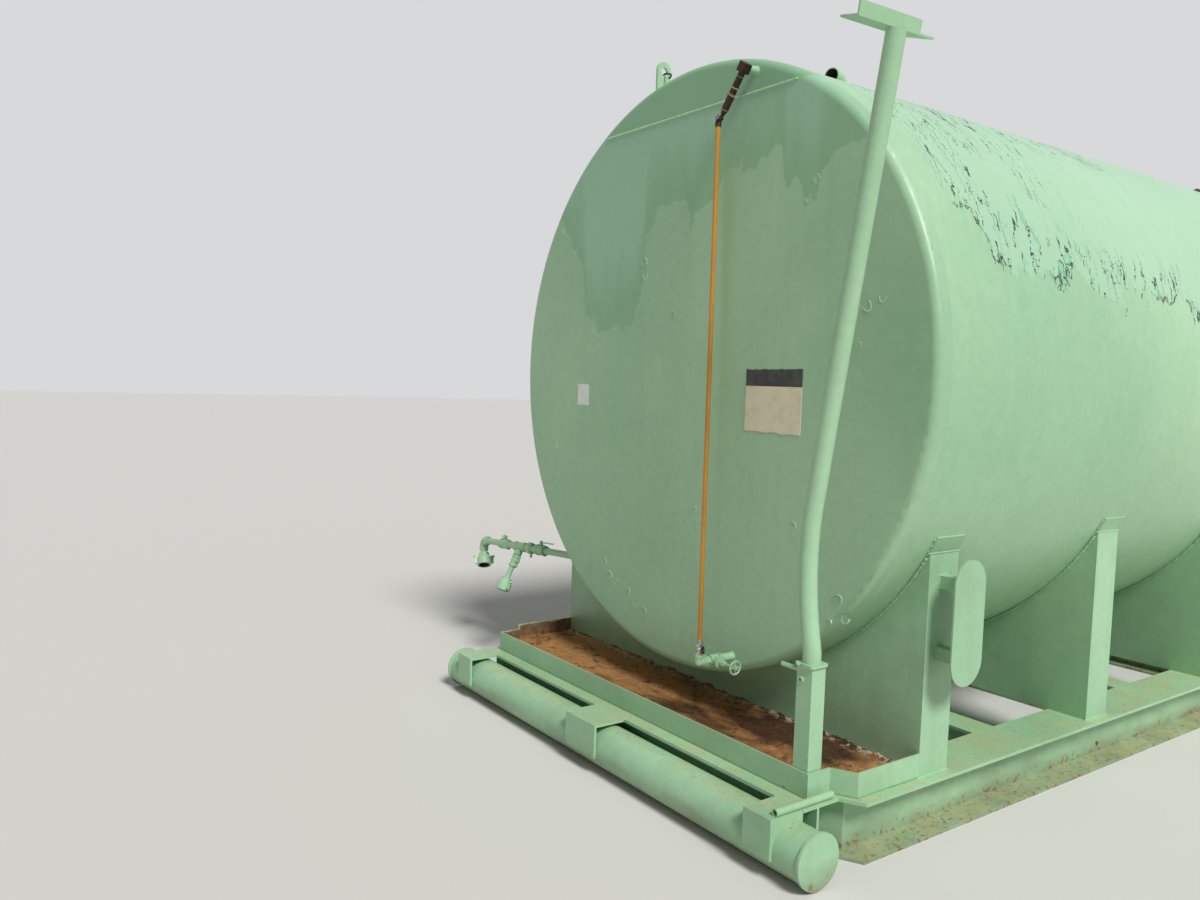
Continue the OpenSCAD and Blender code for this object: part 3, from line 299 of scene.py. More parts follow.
# Patterns in the enamel: fading 1250 mm, mottling 45, gloss 170, rain runs 90 wide, chips 140 apart,
# nicks 14, mud 200, freckles 24, dust 140, tray scale 33, salts 14. Orange peel is about 3 mm and drawn at 6, and
# grit about 2 mm and drawn at 12, so that they show.
def enamelMaterial(name, coats=False, chips=0.0, streaks=0.0, peel=False, splash=0.0, tray=0.0,
                   paintedLightTone=1.0, soil=0.0, seed=0.0, mouth=None, bend=None):
    mat, tree = newMaterial(name)
    where = add(tree, "where")
    xAt, yAt, zAt = add(tree, "parts", where)
    shifted = add(tree, "place", where, (1, 1, 1), (seed, seed * 0.7, seed * 1.3))
    # broad fading, then fine mottling
    broad = patches(tree, shifted, (0.8, 3, 0.5), 0.35, 0.65)
    colour = add(tree, "mix", broad, enamel["sound"], enamel["chalked"])
    fine = patches(tree, shifted, (22, 8, 0.7), 0.3, 0.7, 0.93, 1.05)
    shade = add(tree, "ShaderNodeCombineColor", {0: fine, 1: fine, 2: fine})[0]
    colour = add(tree, "mix", 1.0, colour, shade, "MULTIPLY")
    # orange peel of the spray
    height = patches(tree, shifted, (160, 2, 0.5), 0, 1, 0, 0.00012)
    # vertical runs of rain dirt
    runs = add(tree, "noise", add(tree, "place", shifted, (11, 11, 0.5)), 1.0, 4, 0.6)
    runs = add(tree, "math", add(tree, "range", runs, 0.5, 0.78), streaks)
    colour = add(tree, "mix", runs, colour, enamel["deep"])
    if coats:
        colour, height = olderCoat(tree, xAt, zAt, shifted, colour, height)
    if peel:
        colour, height = peeledFilm(tree, xAt, yAt, zAt, where, colour, height)
    # chips down to the primer, with rust in their middle
    cells = add(tree, "ShaderNodeTexVoronoi", {"Vector": shifted, "Scale": 7.0, "Randomness": 1.0})
    wobble = patches(tree, shifted, (70, 4, 0.65), 0.3, 0.7, -0.05, 0.05)
    pick = add(tree, "parts", cells["Color"])[0]
    large = add(tree, "range", pick, 1 - 0.45 * chips, 1.0, -0.06, 0.10)
    spots = add(tree, "math", add(tree, "math", large, cells["Distance"], "SUBTRACT"), wobble, "ADD")
    chip = add(tree, "range", spots, 0.0, 0.006)
    core = add(tree, "range", spots, 0.012, 0.03)
    colour = add(tree, "mix", chip, colour, enamel["primer"])
    colour = add(tree, "mix", core, colour, enamel["rustDark"])
    height = add(tree, "math", height, add(tree, "math", chip, -0.0009), "ADD")
    rough = patches(tree, shifted, (6, 4, 0.6), 0.3, 0.7, enamel["gloss"] - 0.05, enamel["gloss"] + 0.14)
    if splash:
        # mud thrown up from the ground, thinning upwards, with rust where it stays wet
        drift = add(tree, "noise", add(tree, "place", where, (1, 1, 2.5), (seed, 0, 0)), 5, 4, 0.5)
        low = add(tree, "math", zAt, add(tree, "range", drift, 0.3, 0.7, -0.3 * splash, 0.3 * splash), "ADD")
        mud = add(tree, "range", low, splash, 0.0)
        colour = tinted(tree, colour, mud, 0.55, enamel["soil"])
        rough = add(tree, "math", rough, add(tree, "math", mud, 0.3), "ADD")
        # rust freckles on the underside, where it stays wet
        freckles = add(tree, "math", add(tree, "range", zAt, 0.06, 0.02),
                       patches(tree, shifted, (42, 4, 0.6), 0.56, 0.6))
        colour = tinted(tree, colour, freckles, 0.8, enamel["rust"])
    if soil:
        dust = patches(tree, shifted, (3, 6, 0.6), 0.45, 0.75, 0, soil)
        colour = add(tree, "mix", dust, colour, enamel["soil"])
        # on the level faces: yellowish dust with brown specks, and the paler yellow also stands for painted
        # sunlight on the tops
        faced = add(tree, "parts", add(tree, "normal"))[2]
        level = add(tree, "range", faced, 0.75, 0.95)
        dustAndSunOnTops = patches(tree, shifted, (7, 6, 0.62), 0.38, 0.66)
        dustAndSunOnTops = add(tree, "math", level, dustAndSunOnTops)
        colour = tinted(tree, colour, dustAndSunOnTops, 0.55, enamel["dust"])
        grit = patches(tree, shifted, (85, 4, 0.6), 0.62, 0.66)
        grit = add(tree, "math", level, grit)
        colour = tinted(tree, colour, grit, 0.7, enamel["soil"])
    if tray:
        # faces that look into the tray have rusted under the standing liquid, up to a ragged line
        end = add(tree, "math", add(tree, "math", yAt, 0.0, "SIGN"), trayMiddle)
        off = add(tree, "vector", where, add(tree, "point", 0.0, end))
        level = add(tree, "vector", off, (1, 1, 0), "MULTIPLY")
        looks = add(tree, "dot", level, add(tree, "normal"))
        line = patches(tree, shifted, (12, 6, 0.65), 0.3, 0.7, 0.0, 0.03)
        rusty = add(tree, "math", add(tree, "range", looks, -0.01, -0.03),
                    add(tree, "range", add(tree, "math", zAt, line, "ADD"), tray + 0.004, tray))
        scale = add(tree, "mix", patches(tree, shifted, (30, 7, 0.7), 0.35, 0.65), "#8A5A36", "#4E2C1B")
        salt = patches(tree, shifted, (70, 5, 0.7), 0.62, 0.66)
        scale = tinted(tree, scale, salt, 0.7, "#CDC3B2")
        colour = tinted(tree, colour, rusty, 0.93, scale)
        rough = add(tree, "math", rough, add(tree, "math", rusty, 0.35), "ADD")
    if mouth or bend:
        bared = insideMouth(tree, where, mouth) if mouth else insideBend(tree, where, bend)
        # the insides: bare rust, with near-black patches as painted shade deep inside
        rustAndShade = add(tree, "mix", patches(tree, where, (60, 5, 0.65), 0.35, 0.65), "#5A3522", "#1E1410")
        colour = add(tree, "mix", bared, colour, rustAndShade)
        rough = add(tree, "math", rough, add(tree, "math", bared, 0.4), "ADD")
    bump = add(tree, "bump", height)
    # painted light: the whole colour is darkened for painted shade or lightened for a painted highlight
    if paintedLightTone != 1.0:
        colour = add(tree, "mix", 1.0, colour, (paintedLightTone, paintedLightTone, paintedLightTone, 1), "MULTIPLY")
    return finished(mat, {"Base Color": colour, "Roughness": rough, "Normal": bump})


# Rusted plate of the drip tray: grainy orange and brown, duller where dry, with dark loose scale.
# Stains are 420 mm across, flakes of scale 60; grains of 1 mm are drawn in clumps of 18, so that they show.
def rustedPlateMaterial():
    mat, tree = newMaterial("rusted steel plate")
    where = add(tree, "where")
    large = patches(tree, where, (2.4, 5, 0.55, 0.4), 0.36, 0.64)
    colour = add(tree, "mix", large, "#8E5727", "#3A2114")
    faced = add(tree, "parts", add(tree, "normal"))[2]
    upward = add(tree, "range", faced, 0.4, 0.6)     # its edges and underside keep their paint
    grains = patches(tree, where, (55, 8, 0.75), 0.35, 0.68)
    colour = tinted(tree, colour, grains, 0.55, "#B4773A")
    flakes = patches(tree, where, (17, 7, 0.6, 0.8), 0.56, 0.60)
    colour = tinted(tree, colour, flakes, 0.7, "#1F140E")
    colour = add(tree, "mix", upward, enamel["deep"], colour)
    height = add(tree, "math", add(tree, "math", grains, 0.0012), add(tree, "math", flakes, 0.0015), "ADD")
    bump = add(tree, "bump", height)
    rough = add(tree, "range", large, 0, 1, 0.85, 0.55)
    return finished(mat, {"Base Color": colour, "Roughness": rough, "Normal": bump})


# Jointing tape and rust at the fittings' ends: distance down the leaning nipples, half width, colour
tapeBands = ((0.033, 0.002, "#A9A08C"), (0.077, 0.0035, "#C9B79A"), (0.104, 0.005, "#C58A5A"),
             (0.163, 0.003, "#8C8272"))


# Black malleable iron: dark and nearly matt, rust-brown in 17 mm patches where its oil has gone. The
# cast skin's grit is about 1 mm and drawn at 3, so that it shows.
def blackIronMaterial():
    mat, tree = newMaterial("black malleable iron")
    where = add(tree, "where")
    tint = patches(tree, where, (60, 6, 0.65), 0.35, 0.65)
    colour = add(tree, "mix", tint, "#2A201C", "#4A2C1E")
    down = add(tree, "vector", where, gaugeStart)
    down = add(tree, "dot", down, gaugeHeading)
    uneven = patches(tree, where, (130, 3, 0.6), 0.3, 0.7, -0.002, 0.002)
    down = add(tree, "math", down, uneven, "ADD")
    for at, wide, band in tapeBands:
        off = add(tree, "absolute", add(tree, "math", down, at, "SUBTRACT"))
        colour = tinted(tree, colour, add(tree, "range", off, wide, wide * 0.6), 0.85, band)
    bump = add(tree, "bump", add(tree, "noise", where, 350, 4, 0.6), 0.0006, 0.6)
    return finished(mat, {"Base Color": colour, "Roughness": 0.62, "Metallic": 0.35, "Normal": bump})


# Nickel-plated brass of the small cocks: soft metal glints between dull weathered patches of 11 mm
def platedBrassMaterial():
    mat, tree = newMaterial("nickel-plated brass")
    where = add(tree, "where")
    tint = patches(tree, where, (90, 5, 0.6), 0.4, 0.7)
    colour = add(tree, "mix", tint, "#C9C8C2", "#7E7565")
    rough = add(tree, "range", tint, 0, 1, 0.28, 0.5)
    return finished(mat, {"Base Color": colour, "Roughness": rough, "Metallic": 1.0})


# Rigid acrylic sight tube, yellowed by sun and fuel: amber with a narrow sharp highlight, in clouds
# 280 mm long
def yellowedAcrylicMaterial():
    mat, tree = newMaterial("yellowed acrylic")
    where = add(tree, "where")
    cloud = patches(tree, add(tree, "place", where, (6, 6, 1.2)), (3, 5, 0.6), 0.35, 0.7)
    colour = add(tree, "mix", cloud, "#DB9C33", "#BE7F22")
    # a length where the sun catches the emptied bore
    pale = add(tree, "noise", add(tree, "place", where, (3, 3, 3.2), (0, 0, 0.4)), 1.0, 2, 0.5)
    zAt = add(tree, "parts", where)[2]
    pale = add(tree, "math", add(tree, "range", pale, 0.5, 0.6),
               add(tree, "math", add(tree, "range", zAt, 2.2, 2.28), add(tree, "range", zAt, 2.42, 2.36)))
    colour = add(tree, "mix", pale, colour, "#E9D9A6")
    return finished(mat, {"Base Color": colour, "Roughness": 0.22, "Transmission Weight": 0.25, "IOR": 1.53})


# Enamelled casting of the hatch cover: satin black, greyer where it has chalked in 40 mm patches
def blackCoverMaterial():
    mat, tree = newMaterial("black enamelled casting")
    where = add(tree, "where")
    tint = patches(tree, where, (25, 6, 0.6), 0.4, 0.7)
    colour = add(tree, "mix", tint, "#1C1D1C", "#33322E")
    return finished(mat, {"Base Color": colour, "Roughness": 0.55})


# Dried sediment: ochre crust, darker where it is still wet, and pale salts along the walls. Wet areas
# are 600 mm across, flakes 50, salts 30; the crust's grains are about 2 mm and drawn at 10 to show.
def sedimentMaterial():
    mat, tree = newMaterial("dried tray sediment")
    where = add(tree, "where")
    wet = patches(tree, add(tree, "place", where, (1, 1.6, 1)), (1.6, 4, 0.55, 0.3), 0.46, 0.58)
    grains = patches(tree, where, (95, 7, 0.7), 0.3, 0.7)
    dry = add(tree, "mix", grains, "#8F6134", "#BE8A52")
    damp = add(tree, "mix", grains, "#2F1D12", "#5A3A20")
    colour = add(tree, "mix", wet, dry, damp)
    flaked = patches(tree, where, (19, 6, 0.6, 0.9), 0.58, 0.62)
    colour = tinted(tree, colour, flaked, 0.65, "#22150D")
    wall = add(tree, "absolute", add(tree, "parts", where)[1])
    wall = add(tree, "range", wall, abs(saddleFace) + 0.05, abs(saddleFace) + 0.005)
    salts = add(tree, "math", wall, patches(tree, where, (34, 6, 0.7), 0.50, 0.56))
    colour = tinted(tree, colour, salts, 0.85, "#C9BBA6")
    bump = add(tree, "bump", add(tree, "math", grains, 0.0012))
    rough = add(tree, "range", wet, 0, 1, 0.92, 0.5)
    return finished(mat, {"Base Color": colour, "Roughness": rough, "Normal": bump})


# Coated sheet of the sign and its label: even satin colour, faded in 55 mm patches, with a few brown
# specks of 11 mm
def sheetMaterial(name, fresh, faded, rough):
    mat, tree = newMaterial(name)
    where = add(tree, "where")
    worn = patches(tree, where, (18, 6, 0.65), 0.45, 0.7)
    colour = add(tree, "mix", worn, fresh, faded)
    specks = patches(tree, where, (90, 3, 0.6), 0.68, 0.72)
    colour = tinted(tree, colour, specks, 0.6, "#6A5A48")
    return finished(mat, {"Base Color": colour, "Roughness": rough})


sedimentCrust = sedimentMaterial()
signPaint = sheetMaterial("faded sign sheet", "#E3DCBC", "#D3CEAC", 0.5)
bandPaint = sheetMaterial("black sign coat", "#2B2C2A", "#4A4A44", 0.45)
labelPaint = sheetMaterial("white vinyl label", "#E6E8E2", "#D2D6CC", 0.4)
# the heads' paint is darkened a little: painted shade
shadedHeadPaint = enamelMaterial("head enamel", coats=True, streaks=0.15, paintedLightTone=0.93)
shellPaint = enamelMaterial("shell enamel", peel=True, streaks=0.15, seed=3.1)
skidPaint = enamelMaterial("skid enamel", chips=0.75, streaks=0.2, splash=0.11, soil=0.25, seed=7.7)
rimPaint = enamelMaterial("tray rim enamel", chips=0.5, streaks=0.2, tray=0.30, soil=0.2, seed=9.1)
trayEndPaint = enamelMaterial("end saddle enamel", chips=0.3, streaks=0.35, tray=0.244, soil=0.2, seed=11.3)
saddlePaint = enamelMaterial("saddle enamel", chips=0.3, streaks=0.35, soil=0.2, seed=11.3)
fittingPaint = enamelMaterial("fitting enamel", chips=0.5, streaks=0.05, seed=5.9)
couplingPaint = enamelMaterial("coupling enamel", chips=0.5, streaks=0.05, seed=5.9, mouth=couplingMouth)
ventPaint = enamelMaterial("vent enamel", chips=0.3, streaks=0.05, seed=5.9, bend=ventBend)
# the beads of the heads' plate joints are painted lighter than the plate: a painted highlight
highlitJointPaint = enamelMaterial("weld bead enamel", paintedLightTone=1.12, seed=4.4)
# the lifted curls are painted paler than the paint round them: a painted highlight on their rims
highlitCurlPaint = enamelMaterial("lifted enamel", paintedLightTone=1.28, seed=1.9)
# the older paint under each curl, darkened as painted shadow under the curl
shadedBaredPaint = enamelMaterial("older enamel, bared", paintedLightTone=0.93, seed=2.3)
trayRust = rustedPlateMaterial()
ironDark = blackIronMaterial()
plated = platedBrassMaterial()
acrylic = yellowedAcrylicMaterial()
coverBlack = blackCoverMaterial()
print("materials made")

finishes = {
    "tank_shell": shellPaint, "front_head": shadedHeadPaint, "rear_head": shadedHeadPaint,
    "tray_floor": trayRust, "gauge_top_piping": ironDark, "gauge_bottom_lever": ironDark,
    "gauge_top_handle": plated, "gauge_bottom_cock": plated, "gauge_tube": acrylic, "hatch_cover": coverBlack,
    "manifold_couplings": couplingPaint, "vent_pipe": ventPaint,
}
for name, obj in nodes.items():
    if name in finishes:
        mat = finishes[name]
    elif name.startswith("tray_rim"):
        mat = rimPaint
    elif name in ("saddle_1", "saddle_6"):
        mat = trayEndPaint
    elif name.startswith(("saddle", "wear", "hose")):
        mat = saddlePaint
    elif name.startswith(("rail", "front_end", "rear_end", "cross", "roll")):
        mat = skidPaint
    else:
        mat = fittingPaint
    obj.data.materials.clear()
    obj.data.materials.append(mat)
print("finishes assigned")


# Pieces made here

def placed(name, data, mats=()):
    obj = bpy.data.objects.new(name, data)
    scene.collection.objects.link(obj)
    for mat in mats:
        data.materials.append(mat)
    return obj


def grown(name, mesh, tree, inputs):
    # the plain mesh that a tree makes from the given one
    start = placed(name + "Start", mesh)
    modifier = start.modifiers.new(tree.name, "NODES")
    modifier.node_group = tree
    for item in tree.interface.items_tree:
        if item.item_type == "SOCKET" and item.in_out == "INPUT" and item.name in inputs:
            modifier[item.identifier] = inputs[item.name]
    graph = bpy.context.evaluated_depsgraph_get()
    plain = bpy.data.meshes.new_from_object(start.evaluated_get(graph))
    bpy.data.objects.remove(start)
    plain.name = name
    made = placed(name, plain)
    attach(made, "tank")


def newTree(name, inputs):
    tree = bpy.data.node_groups.new(name, "GeometryNodeTree")
    tree.interface.new_socket("Geometry", in_out="INPUT", socket_type="NodeSocketGeometry")
    for label, kind in inputs.items():
        tree.interface.new_socket(label, in_out="INPUT", socket_type="NodeSocket" + kind)
    tree.interface.new_socket("Geometry", in_out="OUTPUT", socket_type="NodeSocketGeometry")
    return tree, add(tree, "NodeGroupInput")


def endTree(tree, geometry, material):
    smooth = add(tree, "GeometryNodeSetShadeSmooth", {"Geometry": add(tree, "real", geometry)})[0]
    add(tree, "NodeGroupOutput", {0: add(tree, "coat", smooth, material)})


# Hand-laid weld: overlapping ripples along a path
welds = {"ripple": 0.0085, "least": 0.85, "most": 1.15, "long": 0.85, "seed": 4}


def makeWeldTree():
    tree, given = newTree("weldRipples", {"Spacing": "Float", "Radius": "Float", "Paint": "Material"})
    path = add(tree, "path", given["Geometry"])
    even = add(tree, "GeometryNodeResampleCurve", {"Curve": path, "Length": given["Spacing"]},
               mode="LENGTH")[0]
    along = add(tree, "GeometryNodeInputTangent")[0]
    turn = add(tree, "FunctionNodeAlignRotationToVector", {"Vector": along}, axis="Z")[0]
    drop = add(tree, "GeometryNodeMeshUVSphere", {"Segments": 6, "Rings": 4, "Radius": 1.0})[0]
    uneven = add(tree, "FunctionNodeRandomValue", {2: welds["least"], 3: welds["most"],
                                                   "Seed": welds["seed"]})[1]
    wide = add(tree, "math", uneven, given["Radius"])
    size = add(tree, "point", wide, wide, add(tree, "math", given["Spacing"], welds["long"]))
    laid = add(tree, "lay", even, drop, turn, size)
    endTree(tree, laid, given["Paint"])
    return tree


weldTree = makeWeldTree()


def makeWeld(name, paths, radius, paint, spacing=None):
    mesh = bpy.data.meshes.new(name)
    points, edges = [], []
    for path in paths:
        start = len(points)
        points += [tuple(p) for p in path]
        edges += [(i, i + 1) for i in range(start, len(points) - 1)]
    mesh.from_pydata(points, edges, [])
    grown(name, mesh, weldTree, {"Spacing": spacing or welds["ripple"], "Radius": radius, "Paint": paint})


def arc(y, radius, start, end, steps=90):
    # in the plane across the tank; angles in degrees, 0 to the right and 90 up
    turns = [math.radians(start + (end - start) * i / steps) for i in range(steps + 1)]
    return [(radius * math.cos(t), y, axisZ + radius * math.sin(t)) for t in turns]


def ring(centre, axis, radius, steps=36):
    # a full circle round an axis
    turn = Vector(axis).to_track_quat("Z", "Y")
    spots = [math.tau * i / steps for i in range(steps + 1)]
    return [Vector(centre) + turn @ Vector((radius * math.cos(t), radius * math.sin(t), 0)) for t in spots]


def shellSaddle(x, y, radius, steps=48):
    # where a round neck at (x, y) meets the shell's top
    out = []
    for i in range(steps + 1):
        t = math.tau * i / steps
        px = x + radius * math.cos(t)
        out.append((px, y + radius * math.sin(t), axisZ + math.sqrt(tankR ** 2 - px ** 2)))
    return out


def straight(a, b):
    return [tuple(a), tuple(b)]


def loop(low, high, z):
    # a rectangle round an upright piece
    (x0, y0), (x1, y1) = low, high
    return [(x0, y0, z), (x1, y0, z), (x1, y1, z), (x0, y1, z), (x0, y0, z)]


# Beads round the tank and over its saddles, in metres: each "Bead" is a radius, each "Step" a ripple
tankWelds = {
    "seamBead": 0.003, "seamIn": 0.0016,
    "jointBead": 0.0055, "jointIn": 0.034, "jointProud": 0.0004,
    "saddleBead": 0.0055, "saddleStep": 0.0095, "saddleOut": 0.003,
    "wearBead": 0.0042, "wearStep": 0.012, "wearOut": 0.002, "wearPlate": 0.008,
}


def makeTankWelds():
    sizes = tankWelds
    rings = [arc(y, tankR - sizes["seamIn"], 0, 360, 240) for y in (seamY, -seamY)]
    half = math.sqrt((tankR - sizes["jointIn"]) ** 2 - jointUp ** 2)
    joints = [straight((-half, y, axisZ + jointUp), (half, y, axisZ + jointUp))
              for y in (headFace - sizes["jointProud"], -headFace + sizes["jointProud"])]
    makeWeld("head_seams", rings, sizes["seamBead"], shellPaint)
    makeWeld("head_plate_joints", joints, sizes["jointBead"], highlitJointPaint)
    wearR = tankR + sizes["wearPlate"]
    low = math.degrees(math.asin((axisZ - saddleTop) / wearR))
    fillets, pads = [], []
    for i in range(1, saddleCount + 1):
        lo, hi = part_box("saddle_%d" % i)
        outer, inner = (lo.y, hi.y) if i <= saddleCount / 2 else (hi.y, lo.y)
        out = math.copysign(sizes["saddleOut"], outer - inner)
        fillets.append(arc(outer + out, wearR, -low - 1, low - 179))
        for y in (outer, inner):
            out = math.copysign(sizes["wearOut"], y - (outer + inner) / 2)
            pads.append(arc(y + out, tankR + sizes["wearOut"], -low + 2.5, low - 182.5))
        for x in (-1, 1):
            side, z = x * (postX - 0.001), saddleTop + 0.003
            pads.append(straight((side, outer, z), (side, inner, z)))
    makeWeld("saddle_fillets", fillets, sizes["saddleBead"], saddlePaint, sizes["saddleStep"])
    makeWeld("wear_plate_fillets", pads, sizes["wearBead"], saddlePaint, sizes["wearStep"])


# Fillets where pipes, plates and sockets meet what carries them, in metres
fittingWelds = {
    "neckBead": 0.0042, "ventR": 0.0365, "lugX": 0.44, "lugIn": 0.2, "lugHalf": 0.0375, "lugSide": 0.0065,
    "nozzleBead": 0.0032, "nozzleStep": 0.006, "nozzleX": 0.36, "nozzleR": 0.0165, "elbowUp": 0.018,
    "skidBead": 0.0042, "socketUp": 0.012, "hangerIn": 0.091, "armHalf": 0.0225,
    "capBead": 0.0036, "capStep": 0.007, "capIn": 0.0105, "capR": 0.0845, "rollIn": 0.091, "rollUp": 0.096,
    "brackets": ((-0.1, 0.1), (-1.035, -0.915), (0.915, 1.035)), "bracketOff": 0.001,
}


def makeFittingWelds():
    sizes = fittingWelds
    low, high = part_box("hatch_neck")
    necks = [shellSaddle(0, headFace + ventIn, sizes["ventR"] + 0.001),
             shellSaddle(0, (high.y + low.y) / 2, (high.y - low.y) / 2 + 0.001)]
    for end, x in ((-1, -sizes["lugX"]), (1, sizes["lugX"])):
        y, z = end * (abs(headFace) - sizes["lugIn"]), axisZ + math.sqrt(tankR ** 2 - sizes["lugX"] ** 2)
        for side in (-sizes["lugSide"], sizes["lugSide"]):
            necks.append(straight((x + side, y - sizes["lugHalf"], z), (x + side, y + sizes["lugHalf"], z)))
    makeWeld("neck_fillets", necks, sizes["neckBead"], shellPaint)

    heights = ((nozzleLow.z + nozzleHigh.z) / 2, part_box("gauge_bottom_elbow")[0].z + sizes["elbowUp"])
    heads = [ring((sizes["nozzleX"], headFace, z), (0, -1, 0), sizes["nozzleR"]) for z in heights]
    makeWeld("nozzle_fillets", heads, sizes["nozzleBead"], fittingPaint, sizes["nozzleStep"])

    low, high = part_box("mast_socket")
    skids = [loop((low.x, low.y), (high.x, high.y), trayTop + sizes["socketUp"])]
    low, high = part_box("hose_hanger")
    half = sizes["armHalf"]
    for z in (low.z + sizes["hangerIn"], high.z - sizes["hangerIn"]):
        y = (low.y + high.y) / 2
        skids.append([(postX, y + a * half, z + b * half)
                      for a, b in ((-1, -1), (1, -1), (1, 1), (-1, 1), (-1, -1))])
    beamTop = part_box("rail_right")[1].z
    for i in range(1, saddleCount + 1):
        lo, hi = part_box("saddle_%d" % i)
        for side in (-1, 1):
            skids.append(straight((side * postX, lo.y, beamTop), (side * postX, hi.y, beamTop)))
    makeWeld("skid_fillets", skids, sizes["skidBead"], saddlePaint)

    low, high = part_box("roll_pipes")
    caps = []
    for end in (-1, 1):
        for x in (low.x + sizes["capIn"], high.x - sizes["capIn"]):
            caps.append(ring((x, end * (high.y - sizes["rollIn"]), sizes["rollUp"]), (1, 0, 0),
                             sizes["capR"]))
    for end in (-1, 1):
        y = end * (abs(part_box("front_end_beam")[0].y) + sizes["bracketOff"])
        z = beamTop - sizes["bracketOff"]
        for x0, x1 in sizes["brackets"]:
            caps.append(straight((x0, y, z), (x1, y, z)))
    makeWeld("roll_fillets", caps, sizes["capBead"], skidPaint, sizes["capStep"])


makeTankWelds()
makeFittingWelds()
print("tank welds laid")


# Lifted curls of enamel on the front head: place across, height, size in metres and turn in degrees
curls = [(-0.073, 1.81, 0.016, 20), (0.991, 1.828, 0.020, 200), (0.927, 1.803, 0.024, 150),
         (0.411, 2.317, 0.014, 250), (0.314, 1.914, 0.009, 30), (-0.236, 1.880, 0.009, 60),
         (-0.275, 2.035, 0.026, 10), (-0.268, 1.99, 0.022, 190), (0.652, 2.185, 0.020, 300),
         (0.683, 2.248, 0.020, 5), (-0.126, 2.251, 0.012, 80), (-0.10, 2.262, 0.012, 130),
         (0.029, 2.166, 0.012, 280), (0.02, 2.15, 0.014, 210), (-0.914, 2.243, 0.013, 200),
         (-0.806, 2.134, 0.012, 230), (-0.691, 1.668, 0.014, 60), (-0.726, 1.609, 0.011, 320),
         (-0.626, 1.322, 0.010, 15), (-0.935, 1.203, 0.016, 100), (-0.897, 1.07, 0.014, 250),
         (0.105, 1.016, 0.020, 40), (0.130, 0.985, 0.016, 170), (0.075, 0.97, 0.018, 280),
         (0.12, 0.945, 0.014, 90), (0.278, 0.975, 0.014, 200), (0.643, 1.031, 0.018, 100),
         (0.903, 1.669, 0.014, 20), (-0.195, 1.301, 0.012, 240), (-0.211, 0.861, 0.014, 300),
         (-0.50, 0.695, 0.022, 20), (-0.462, 0.648, 0.026, 100), (-0.40, 0.62, 0.020, 330),
         (-0.32, 0.592, 0.026, 45), (-0.26, 0.56, 0.020, 190), (-0.201, 0.534, 0.022, 80),
         (-0.714, 0.636, 0.016, 160), (0.058, 0.715, 0.012, 20), (0.008, 0.555, 0.016, 250),
         (0.86, 0.80, 0.027, 60), (0.902, 0.745, 0.021, 200), (0.829, 0.716, 0.014, 70),
         (-0.47, 1.765, 0.013, 260), (-0.62, 1.75, 0.016, 300)]
# Shares of a curl's size, and angles in degrees; "bared" is the spot of older paint under it, darkened as painted
# shadow
curlShape = {"sweep": 200, "width": 0.42, "thick": 0.09, "tilt": 50, "off": 0.07, "narrow": 0.72,
             "bared": 0.85, "baredUp": 0.02}


def makeCurlTree():
    tree, given = newTree("paintCurls", {"Sweep": "Float", "Width": "Float", "Thick": "Float",
                                         "Tilt": "Float", "Film": "Material", "Bared": "Material"})
    arcLine = add(tree, "GeometryNodeCurveArc", {"Resolution": 14, "Radius": 1.0,
                                                 "Sweep Angle": given["Sweep"]})[0]
    strip = add(tree, "GeometryNodeCurvePrimitiveQuadrilateral",
                {"Width": given["Width"], "Height": given["Thick"]})[0]
    lean = add(tree, "point", 0.0, 0.0, given["Tilt"])
    leant = add(tree, "GeometryNodeTransform", {"Geometry": strip, "Translation": (0, curlShape["off"], 0),
                                                "Rotation": lean})[0]
    film = add(tree, "sweep", arcLine, leant)
    film = add(tree, "coat", film, given["Film"])
    under = add(tree, "GeometryNodeMeshCircle", {"Vertices": 18, "Radius": curlShape["bared"]},
                fill_type="NGON")[0]
    under = add(tree, "GeometryNodeTransform",
                {"Geometry": under, "Translation": (0, 0, curlShape["baredUp"])})[0]
    under = add(tree, "coat", under, given["Bared"])
    both = tree.nodes.new("GeometryNodeJoinGeometry")
    tree.links.new(film, both.inputs[0])
    tree.links.new(under, both.inputs[0])
    spin = add(tree, "named", "spin")
    size = add(tree, "named", "size")
    turn = add(tree, "point", math.pi / 2, spin, 0.0)
    oval = add(tree, "point", add(tree, "math", size, curlShape["narrow"]), size, size)
    laid = add(tree, "lay", given["Geometry"], both.outputs[0], turn, oval)
    add(tree, "NodeGroupOutput", {0: add(tree, "real", laid)})
    return tree


def makeCurls():
    mesh = bpy.data.meshes.new("curlSpots")
    mesh.from_pydata([(x, headFace, z) for x, z, size, turn in curls], [], [])
    sizes = mesh.attributes.new("size", "FLOAT", "POINT")
    spins = mesh.attributes.new("spin", "FLOAT", "POINT")
    for i, (x, z, size, turn) in enumerate(curls):
        sizes.data[i].value = size
        spins.data[i].value = math.radians(turn)
    grown("paint_curls", mesh, makeCurlTree(), {
        "Sweep": math.radians(curlShape["sweep"]), "Width": curlShape["width"], "Thick": curlShape["thick"],
        "Tilt": math.radians(curlShape["tilt"]), "Film": highlitCurlPaint, "Bared": shadedBaredPaint})


makeCurls()
print("paint curls placed")


# Sediment that has dried in the two ends of the drip tray, in metres; stones are per square metre, and
# the last three are shares of their size
sediment = {"cell": 0.009, "least": 0.001, "layer": 0.006, "lumps": 0.010, "crust": 0.004, "crustFrom": 0.12,
            "bank": 0.012, "bankReach": 0.05, "gap": 0.0005, "stones": 520, "stoneSize": 0.0032, "seed": 7,
            "smallest": 0.35, "largest": 1.6, "flat": 0.6}
stepFrom, stepTo = 3.153, 3.198        # where the side rims step in
rimWall, endWall = 0.008, 0.0065       # side rims with their gap, and the end rim


